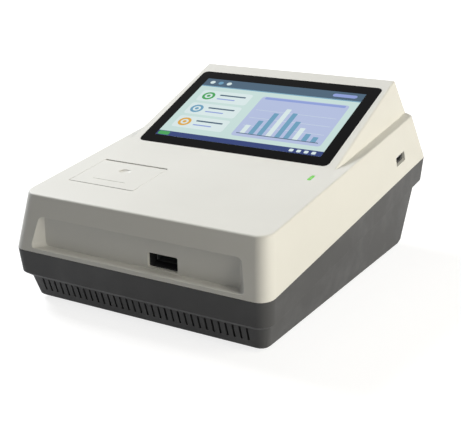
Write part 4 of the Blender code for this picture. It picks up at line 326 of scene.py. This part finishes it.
for i, colour in enumerate((LEAF, SKY, AMBER)):
    y = 0.0190 - CARD_PITCH * i
    tile(-0.0450, y - 0.0005, 0.0500, 0.0175, 0.0026, 1, PAPER)
    disc(RING_MIDDLE, y - 0.0005, 0.0060, 2, colour)
    disc(RING_MIDDLE, y - 0.0005, 0.0036, 3, PAPER)
    disc(RING_MIDDLE, y - 0.0005, 0.0018, 4, colour)
    tile(-0.0380, y + 0.0025, 0.0260, 0.0020, 0.0009, 2, SLATE)
    tile(-0.0420, y - 0.0035, 0.0180, 0.0016, 0.0007, 2, LAVENDER)
bpy.ops.object.select_all(action="DESELECT")
for part in screen_parts:
    part.select_set(True)
bpy.context.view_layer.objects.active = screen_parts[0]
bpy.ops.object.join()
picture = bpy.context.object
picture.name = "screen_picture"
middle = Vector((0, SCREEN_MARGIN + SCREEN_HEIGHT / 2 - GLASS_LENGTH / 2, 0))
place = Matrix.Translation(GLASS_CENTRE) @ Matrix.Rotation(GLASS_TILT, 4, "X")
picture.data.transform(place @ Matrix.Translation(middle))
lit, tree, shader = blank("lit screen")
tint = put(tree, "Attribute", attribute_name="tint").outputs["Color"]
falloff = use(tree, moulded_grain, Scale=2600.0, Drift=7.0)["Tone"]
backlight = blend(tree, falloff, (0.90, 0.92, 0.94), (1.0, 1.0, 1.0))
glow = put(tree, "Mix", {"Factor": 1.0}, data_type="RGBA", blend_type="MULTIPLY")
tree.links.new(tint, glow.inputs[6])
tree.links.new(backlight, glow.inputs[7])
shader.inputs["Base Color"].default_value = (0.004, 0.004, 0.005, 1)
tree.links.new(glow.outputs[2], shader.inputs["Emission Color"])
shader.inputs["Emission Strength"].default_value = 0.92
shader.inputs["Specular IOR Level"].default_value = 0.05
smear = use(tree, hand_marks, Scale=55.0, Amount=0.5)["Mask"]
shine = put(tree, "MapRange", {"Value": smear, "To Min": 0.05, "To Max": 0.16})
tree.links.new(shine.outputs["Result"], shader.inputs["Roughness"])
finish(picture, lit)
settle(picture, "case", "panel")

# The status light is a lens of clear green plastic, lit from the small board behind it. It
# stands in a slot through the deck.
lens_green, tree, shader = blank("green lens")
bright = use(tree, hand_marks, Scale=420.0)["Mask"]
tree.links.new(
    blend(tree, bright, (0.10, 0.46, 0.03), (0.26, 0.62, 0.10)), shader.inputs["Emission Color"]
)
tree.links.new(
    blend(tree, bright, (0.06, 0.30, 0.03), (0.14, 0.42, 0.06)), shader.inputs["Base Color"]
)
shader.inputs["Emission Strength"].default_value = 0.6
shader.inputs["Roughness"].default_value = 0.18
lens = smoothed("status_lens", "status_lens_cap", edge=0.0002)
finish(lens, lens_green)
settle(lens, "case", "green_lens", "status_lens")

# The printer's lid is moulded in the housing's plastic. It has a thumb scoop, a grip line, two
# hinge knuckles in front, and two cheeks that carry the rubber platen and its gear.
lid = smoothed("printer_lid", "printer_lid_shell", edge=0.0002)
finish(lid, white)
settle(lid, "printer_lid", "white_plastic", "printer_lid")
platen = smoothed("platen_roller", "platen_roller_turned", edge=0.0001)
finish(platen, rubber)
settle(platen, "platen", "rubber", "platen_roller")
grey = moulded(
    "grey plastic", (0.26, 0.27, 0.28), (0.23, 0.24, 0.25), (0.34, 0.35, 0.36), rough=(0.35, 0.5)
)
gear = smoothed("platen_gear", "platen_gear_moulded")
finish(gear, grey)
settle(gear, "platen", "grey_plastic", "platen_gear")
black = moulded(
    "black plastic", (0.018, 0.018, 0.020), (0.014, 0.014, 0.015), (0.06, 0.06, 0.063),
    rough=(0.34, 0.52),
)
# The paper well under the lid is black plastic. Its black is also painted shade: it darkens the
# slots around the lid, where the narrow gaps would be in shade.
well = smoothed("paper_well", "paper_well_moulded", edge=0.0002)
finish(well, black)
settle(well, "case", "black_plastic", "paper_well")


# The printer's frame and tear bar, the pins, rods, screws and socket shells are steel. Turned
# and ground pieces keep fine lines along their length, and bent sheet has a plated bloom. The
# bush and the nut are brass, and the sensor's bridge and the heat sink are aluminium.
def metal(name, colour, lines, rough=(0.22, 0.38), dark=0.72):
    """A metal whose fine tool lines run along one axis; lines is their stretch in X, Y and Z."""
    made, tree, shader = blank(name)
    where = put(tree, "TexCoord").outputs["Object"]
    run = put(tree, "Mapping", {"Vector": where, "Scale": lines})
    streak = put(tree, "TexNoise", {"Vector": run.outputs[0], "Scale": 900.0, "Detail": 3.0})
    bloom = use(tree, hand_marks, Scale=70.0)["Mask"]
    low = tuple(part * dark for part in colour)
    body = blend(tree, streak.outputs["Fac"], low, colour)
    edges = use(tree, worn_edges, Reach=0.0003)["Mask"]
    tree.links.new(
        blend(tree, edges, body, tuple(min(1, 1.15 * part) for part in colour)),
        shader.inputs["Base Color"],
    )
    shader.inputs["Metallic"].default_value = 1.0
    polish = put(tree, "MapRange", {"Value": bloom, "To Min": rough[0], "To Max": rough[1]})
    tree.links.new(polish.outputs["Result"], shader.inputs["Roughness"])
    bump = put(
        tree, "Bump", {"Height": streak.outputs["Fac"], "Strength": 0.25, "Distance": 0.00002}
    )
    tree.links.new(bump.outputs["Normal"], shader.inputs["Normal"])
    return made


steel_x = metal("ground steel along x", (0.60, 0.61, 0.62), (0.06, 1, 1))
steel_y = metal("ground steel along y", (0.60, 0.61, 0.62), (1, 0.06, 1))
plated = metal("plated sheet steel", (0.55, 0.56, 0.56), (1, 1, 1), rough=(0.34, 0.52))
brass = metal("turned brass", (0.72, 0.54, 0.28), (1, 0.1, 1))
aluminium = metal("milled aluminium", (0.68, 0.69, 0.70), (0.08, 1, 1), rough=(0.3, 0.45))
for node in ("lid_hinge_pin", "tear_bar", "printer_motor"):
    finish(nodes[node], steel_x)
for node in ("guide_rod_left", "guide_rod_right", "lead_screw", "sensor_head", "stepper_motor"):
    finish(nodes[node], steel_y)
for node in ("printer_frame", "reader_chassis", "display_bracket"):
    finish(nodes[node], plated)
for node in ("screw_bush", "screw_nut"):
    finish(nodes[node], brass)
for node in ("sensor_bridge", "heat_sink"):
    finish(nodes[node], aluminium)

# The print head is a glazed ceramic bar with a dark line of heating dots along its face. The
# printer's frame holds it by the platen.
ceramic, tree, shader = blank("glazed ceramic")
where = put(tree, "TexCoord").outputs["Object"]
apart = put(tree, "SeparateXYZ", {"Vector": where}).outputs
low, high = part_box("print_head")
line = put(
    tree, "Math", {0: apart["Z"], 1: (low.z * 2 + high.z) / 3, 2: 0.0006}, operation="COMPARE"
)
mottle = use(tree, moulded_grain, Scale=500.0)["Tone"]
body = blend(tree, mottle, (0.78, 0.76, 0.70), (0.70, 0.68, 0.62))
tree.links.new(
    blend(tree, line.outputs[0], body, (0.10, 0.08, 0.07)), shader.inputs["Base Color"]
)
shader.inputs["Roughness"].default_value = 0.22
finish(nodes["print_head"], ceramic)

# Inside the port, a black guide leads the card onto a grey tray on two ground rods. Both are
# moulded in plastic; the guide is fixed in the front recess, and the tray slides.
bezel = smoothed("port_bezel", "port_guide", edge=0.0002)
finish(bezel, black)
settle(bezel, "case", "black_plastic", "port_bezel")
tray = smoothed("card_tray", "card_tray_moulded", edge=0.0003)
finish(tray, grey)
settle(tray, "tray", "grey_plastic", "card_tray")

# The circuit boards are sheets of green laminate, with fine tracks that show through the
# mask. All six share one material.
laminate, tree, shader = blank("green laminate")
where = put(tree, "TexCoord").outputs["Object"]
cells = put(
    tree, "TexBrick",
    {
        "Vector": where, "Scale": 260.0, "Mortar Size": 0.035, "Bias": -0.2,
        "Color1": (0, 0, 0, 1), "Color2": (0.12, 0.12, 0.12, 1), "Mortar": (1, 1, 1, 1),
    },
    offset=0.37,
    squash=1.6,
)
weave = use(tree, moulded_grain, Scale=1200.0, Drift=90.0)
track = put(tree, "RGBToBW", {"Color": cells.outputs["Color"]}).outputs[0]
body = blend(tree, weave["Tone"], (0.012, 0.13, 0.055), (0.010, 0.105, 0.05))
tree.links.new(blend(tree, track, body, (0.03, 0.25, 0.10)), shader.inputs["Base Color"])
shader.inputs["Roughness"].default_value = 0.34
bump = put(tree, "Bump", {"Height": track, "Strength": 0.4, "Distance": 0.00004})
tree.links.new(bump.outputs["Normal"], shader.inputs["Normal"])
for node in (
    "main_board", "supply_board", "display_board", "sensor_board", "side_port_board",
    "status_board",
):
    finish(nodes[node], laminate)

# The supply's coil is varnished copper wire, wound in layers. Its capacitor and the speaker
# are in black plastic, and the display panel has a milky film on its face.
wire, tree, shader = blank("varnished copper wire")
where = put(tree, "TexCoord").outputs["Object"]
turns = put(
    tree, "TexWave", {"Vector": where, "Scale": 420.0, "Distortion": 0.4},
    bands_direction="Z",
)
tree.links.new(
    blend(tree, turns.outputs["Fac"], (0.30, 0.11, 0.05), (0.70, 0.33, 0.16)),
    shader.inputs["Base Color"],
)
shader.inputs["Metallic"].default_value = 1.0
shader.inputs["Roughness"].default_value = 0.35
bump = put(
    tree, "Bump", {"Height": turns.outputs["Fac"], "Strength": 0.6, "Distance": 0.00015}
)
tree.links.new(bump.outputs["Normal"], shader.inputs["Normal"])
finish(nodes["supply_transformer"], wire)
for node in ("supply_capacitor", "speaker"):
    finish(nodes[node], black)
milky, tree, shader = blank("display panel film")
film = use(tree, moulded_grain, Scale=2200.0, Drift=20.0)
tree.links.new(
    blend(tree, film["Tone"], (0.50, 0.66, 0.67), (0.58, 0.74, 0.74)), shader.inputs["Base Color"]
)
shader.inputs["Roughness"].default_value = 0.3
finish(nodes["lcd_panel"], milky)

# The sockets are folded steel shells. Those in the rear panel hold gilt contacts, and the
# stacked pair has black tongues too. The flat one in the right wall is empty, in a black
# moulded surround.
for node, body in (("side_data_port", "socket_side"), ("rear_data_ports", "socket_stack"),
                   ("network_port", "socket_network")):
    shell = smoothed(node, body, edge=0.0001)
    finish(shell, steel_y)
    settle(shell, "case", "steel", node)

surround = smoothed("side_port_surround", "side_surround", edge=0.0002)
finish(surround, black)
settle(surround, "case", "black_plastic", "side_port_surround")
gilt = metal("gilt contact", (0.80, 0.60, 0.25), (1, 1, 1), rough=(0.18, 0.3))


def bar(name, low, high, edge, material, body, slot):
    """A small block between two corners with eased edges, for contacts, blades and tongues."""
    bpy.ops.object.select_all(action="DESELECT")
    low, high = Vector(low), Vector(high)
    bpy.ops.mesh.primitive_cube_add(size=1, location=(low + high) / 2)
    made = bpy.context.object
    made.name = name
    made.scale = high - low
    bpy.ops.object.transform_apply(location=True, rotation=True, scale=True)
    bpy.ops.object.mode_set(mode="EDIT")
    bpy.ops.mesh.select_all(action="SELECT")
    bpy.ops.mesh.bevel(offset=edge, segments=2)
    bpy.ops.object.mode_set(mode="OBJECT")
    bpy.ops.object.shade_smooth_by_angle(angle=math.radians(30))
    finish(made, material)
    settle(made, body, slot)
    return made


NETWORK_PITCH = 0.00102
NETWORK_HALF_WIDTH = 0.0002
low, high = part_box("network_port")
for i in range(8):
    x = (low.x + high.x) / 2 + (i - 3.5) * NETWORK_PITCH
    bar(
        f"network_contact_{i + 1}", (x - NETWORK_HALF_WIDTH, high.y - 0.0122, high.z - 0.0036),
        (x + NETWORK_HALF_WIDTH, high.y - 0.0025, high.z - 0.0029), 0.00008, gilt, "case",
        "brass",
    )
DATA_PITCH = 0.0025
DATA_HALF_WIDTH = 0.0005
TONGUE_HALF_WIDTH = 0.0056
low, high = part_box("rear_data_ports")
for row, z in (("lower", 0.01795), ("upper", 0.02545)):
    middle = (low.x + high.x) / 2
    bar(
        f"{row}_data_tongue", (middle - TONGUE_HALF_WIDTH, high.y - 0.0152, z + 0.0006),
        (middle + TONGUE_HALF_WIDTH, high.y - 0.0008, z + 0.0015), 0.0001, black, "case",
        "black_plastic",
    )
    for i in range(4):
        x = middle + (i - 1.5) * DATA_PITCH
        bar(
            f"{row}_data_contact_{i + 1}", (x - DATA_HALF_WIDTH, high.y - 0.0100, z + 0.00045),
            (x + DATA_HALF_WIDTH, high.y - 0.0016, z + 0.0007), 0.00006, gilt, "case", "brass",
        )

# The mains inlet, the switch and the fan are black mouldings in the rear panel. The inlet
# holds three steel blades, and the rocker carries two printed marks.
for node, name in (("mains_inlet", "inlet_moulded"), ("switch_frame", "switch_surround"),
                   ("fan_frame", "fan_surround")):
    moulding = smoothed(node, name, edge=0.0002)
    finish(moulding, black)
    settle(moulding, "case", "black_plastic", node)
BLADE_APART = 0.007
BLADE_DROP = 0.002
BLADE_HALF_WIDTH = 0.00107
BLADE_HALF_HEIGHT = 0.00207
low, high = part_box("mains_inlet")
for name, x, z in (
    ("left", -BLADE_APART, -BLADE_DROP), ("right", BLADE_APART, -BLADE_DROP),
    ("earth", 0, BLADE_DROP),
):
    x += (low.x + high.x) / 2
    z += (low.z + high.z) / 2
    bar(
        f"inlet_blade_{name}", (x - BLADE_HALF_WIDTH, high.y - 0.0152, z - BLADE_HALF_HEIGHT),
        (x + BLADE_HALF_WIDTH, high.y - 0.0015, z + BLADE_HALF_HEIGHT), 0.0003, steel_y, "case",
        "steel",
    )
rotor = smoothed("fan_rotor", "fan_blades", edge=0.0001)
finish(rotor, black)
settle(rotor, "fan", "black_plastic", "fan_rotor")
rocker = smoothed("power_rocker", "rocker_moulded", edge=0.0004)
finish(rocker, black)
settle(rocker, "rocker", "black_plastic", "power_rocker")
paint, tree, shader = blank("printed mark")
wear = use(tree, hand_marks, Scale=900.0)["Mask"]
tree.links.new(
    blend(tree, wear, (0.78, 0.78, 0.77), (0.60, 0.60, 0.59)), shader.inputs["Base Color"]
)
shader.inputs["Roughness"].default_value = 0.55
BAR_MARK_PLACE = Vector((0.028, 0.11877, 0.03265))
BAR_MARK_TURN = math.radians(-5.1)
RING_MARK_PLACE = Vector((0.028, 0.11972, 0.02591))
RING_MARK_TURN = math.radians(111.1)
bpy.ops.object.select_all(action="DESELECT")
bpy.ops.mesh.primitive_cube_add(size=1)
mark_on = bpy.context.object
mark_on.name = "rocker_mark_on"
mark_on.scale = (0.0006, 0.00014, 0.0032)
bpy.ops.object.transform_apply(location=True, rotation=True, scale=True)
bpy.ops.object.mode_set(mode="EDIT")
bpy.ops.mesh.select_all(action="SELECT")
bpy.ops.mesh.bevel(offset=0.00004, segments=2)
bpy.ops.object.mode_set(mode="OBJECT")
mark_on.data.transform(
    Matrix.Translation(BAR_MARK_PLACE) @ Matrix.Rotation(BAR_MARK_TURN, 4, "X")
)
bpy.ops.object.select_all(action="DESELECT")
bpy.ops.mesh.primitive_torus_add(
    major_radius=0.0015, minor_radius=0.00028, major_segments=40, minor_segments=8
)
mark_off = bpy.context.object
mark_off.name = "rocker_mark_off"
mark_off.scale = (1, 1, 0.25)
bpy.ops.object.transform_apply(location=True, rotation=True, scale=True)
bpy.ops.object.shade_smooth()
mark_off.data.transform(
    Matrix.Translation(RING_MARK_PLACE) @ Matrix.Rotation(RING_MARK_TURN, 4, "X")
)
for mark in (mark_on, mark_off):
    finish(mark, paint)
    settle(mark, "rocker", "white_plastic")

# Pan-head screws hold the fan to the rear panel. Four more, deep in the base's counterbores,
# clamp the two halves of the case together.
bpy.ops.object.select_all(action="DESELECT")
bpy.ops.mesh.primitive_cylinder_add(vertices=28, radius=1, depth=0.8, location=(0, 0, 0.4))
head = bpy.context.object
bpy.ops.object.mode_set(mode="EDIT")
bpy.ops.mesh.select_all(action="DESELECT")
bpy.ops.object.mode_set(mode="OBJECT")
for edge in head.data.edges:
    edge.select = all(head.data.vertices[i].co.z > 0.7 for i in edge.vertices)
bpy.ops.object.mode_set(mode="EDIT")
bpy.ops.mesh.bevel(offset=0.4, segments=4)
bpy.ops.object.mode_set(mode="OBJECT")
for turn in (0, 90):
    bpy.ops.object.select_all(action="DESELECT")
    bpy.ops.mesh.primitive_cube_add(size=1, location=(0, 0, 0.7))
    cutter = bpy.context.object
    cutter.scale = (1.15, 0.26, 0.7)
    cutter.rotation_euler = (0, 0, math.radians(turn))
    bpy.ops.object.transform_apply(location=True, rotation=True, scale=True)
    recess = head.modifiers.new("cross", "BOOLEAN")
    recess.object = cutter
    recess.operation = "DIFFERENCE"
    bpy.context.view_layer.objects.active = head
    bpy.ops.object.modifier_apply(modifier="cross")
    bpy.data.objects.remove(cutter)
head.data.shade_smooth()
head.data.set_sharp_from_angle(angle=math.radians(35))
FAN_X = -0.009
FAN_Z = 0.0289
FAN_SCREW_APART = 0.012
PANEL_FACE = 0.117
FAN_HEAD_RADIUS = 0.0021
POST_SIDE = 0.092
POST_FRONT = -0.1177
POST_REAR = 0.105
COUNTERBORE_FLOOR = 0.033
CASE_HEAD_RADIUS = 0.0028
screw_places = {
    f"fan_screw_{i + 1}": (
        Matrix.Translation((FAN_X + u * FAN_SCREW_APART, PANEL_FACE, FAN_Z + v * FAN_SCREW_APART))
        @ Matrix.Rotation(math.radians(-90), 4, "X")
        @ Matrix.Rotation(math.radians(23 + 31 * i), 4, "Z")
        @ Matrix.Scale(FAN_HEAD_RADIUS, 4)
    )
    for i, (u, v) in enumerate(((-1, -1), (1, -1), (-1, 1), (1, 1)))
}
posts = [(side * POST_SIDE, y) for y in (POST_FRONT, POST_REAR) for side in (-1, 1)]
for i, (x, y) in enumerate(posts):
    screw_places[f"case_screw_{i + 1}"] = (
        Matrix.Translation((x, y, COUNTERBORE_FLOOR))
        @ Matrix.Rotation(math.radians(180), 4, "X")
        @ Matrix.Rotation(math.radians(12 + 40 * i), 4, "Z")
        @ Matrix.Scale(CASE_HEAD_RADIUS, 4)
    )
for name, spot in screw_places.items():
    screw = bpy.data.objects.new(name, head.data.copy())
    bpy.context.scene.collection.objects.link(screw)
    screw.data.transform(spot)
    finish(screw, plated)
    settle(screw, "case", "steel")
bpy.data.objects.remove(head)

# The studio has a seamless white sweep that keeps the shadow, and a white room. A soft key
# light stands at the right and a second at the upper left, and the camera stands where the
# photograph was taken from.
def seen_white(tree):
    """1 for the rays that should see white, and 0 for those that carry light."""
    seen = put(tree, "LightPath").outputs
    either = put(
        tree, "Math", {0: seen["Is Camera Ray"], 1: seen["Is Glossy Ray"]}, operation="MAXIMUM"
    )
    return put(
        tree, "Math", {0: either.outputs[0], 1: seen["Is Transmission Ray"]},
        operation="MAXIMUM",
    ).outputs[0]


bpy.ops.object.select_all(action="DESELECT")
bpy.ops.mesh.primitive_plane_add(size=16, location=(0, 0, 0))
floor = bpy.context.object
floor.name = "floor"
sweep, tree, shader = blank("white sweep")
shader.inputs["Base Color"].default_value = (0.34, 0.34, 0.34, 1)
shader.inputs["Roughness"].default_value = 0.9
shader.inputs["Emission Color"].default_value = (1, 1, 1, 1)
where = put(tree, "TexCoord").outputs["Object"]
apart = put(tree, "VectorMath", {0: where}, operation="LENGTH").outputs["Value"]
fade = put(
    tree, "MapRange",
    {"Value": apart, "From Min": 0.3, "From Max": 1.3, "To Min": 0.80, "To Max": 1.0},
)
lift = put(
    tree, "Math", {0: seen_white(tree), 1: fade.outputs["Result"]}, operation="MULTIPLY"
)
tree.links.new(lift.outputs[0], shader.inputs["Emission Strength"])
finish(floor, sweep)

world = bpy.data.worlds.new("studio")
bpy.context.scene.world = world
world.use_nodes = True
tree = world.node_tree
background = tree.nodes["Background"]
level = put(tree, "MapRange", {"Value": seen_white(tree), "To Min": 0.075, "To Max": 1.0})
background.inputs["Color"].default_value = (1, 1, 1, 1)
tree.links.new(level.outputs["Result"], background.inputs["Strength"])


LIGHT_AIM = Vector((0, 0, 0.07))


def softbox(name, spot, size, power, colour):
    """A square soft light at spot that faces the analyzer."""
    light = bpy.data.lights.new(name, "AREA")
    light.shape = "SQUARE"
    light.size = size
    light.energy = power
    light.color = colour
    lamp = bpy.data.objects.new(name, light)
    lamp.location = spot
    aim = LIGHT_AIM - Vector(spot)
    lamp.rotation_euler = aim.to_track_quat("-Z", "Y").to_euler()
    bpy.context.scene.collection.objects.link(lamp)


softbox("key", (1.2, -0.1, 0.5), 1.0, 14.8, (1.0, 0.955, 0.84))
softbox("top", (-1.7, 0.45, 1.5), 0.9, 56.0, (0.97, 0.985, 1.0))

CAMERA_PLACE = Vector((0.38203, -0.65472, 0.29508))
lens_data = bpy.data.cameras.new("camera")
lens_data.sensor_width = 36.0
lens_data.lens = 75.38
camera = bpy.data.objects.new("camera", lens_data)
right = Vector((0.86125123, 0.50816371, -0.00399609))
up = Vector((-0.15623417, 0.27225672, 0.94945625))
back = Vector((0.48356717, -0.81709603, 0.31387397))
turn = Matrix((right, up, back)).transposed().to_4x4()
camera.matrix_world = Matrix.Translation(CAMERA_PLACE) @ turn
bpy.context.scene.collection.objects.link(camera)
bpy.context.scene.camera = camera
bpy.context.scene.view_settings.view_transform = "Standard"
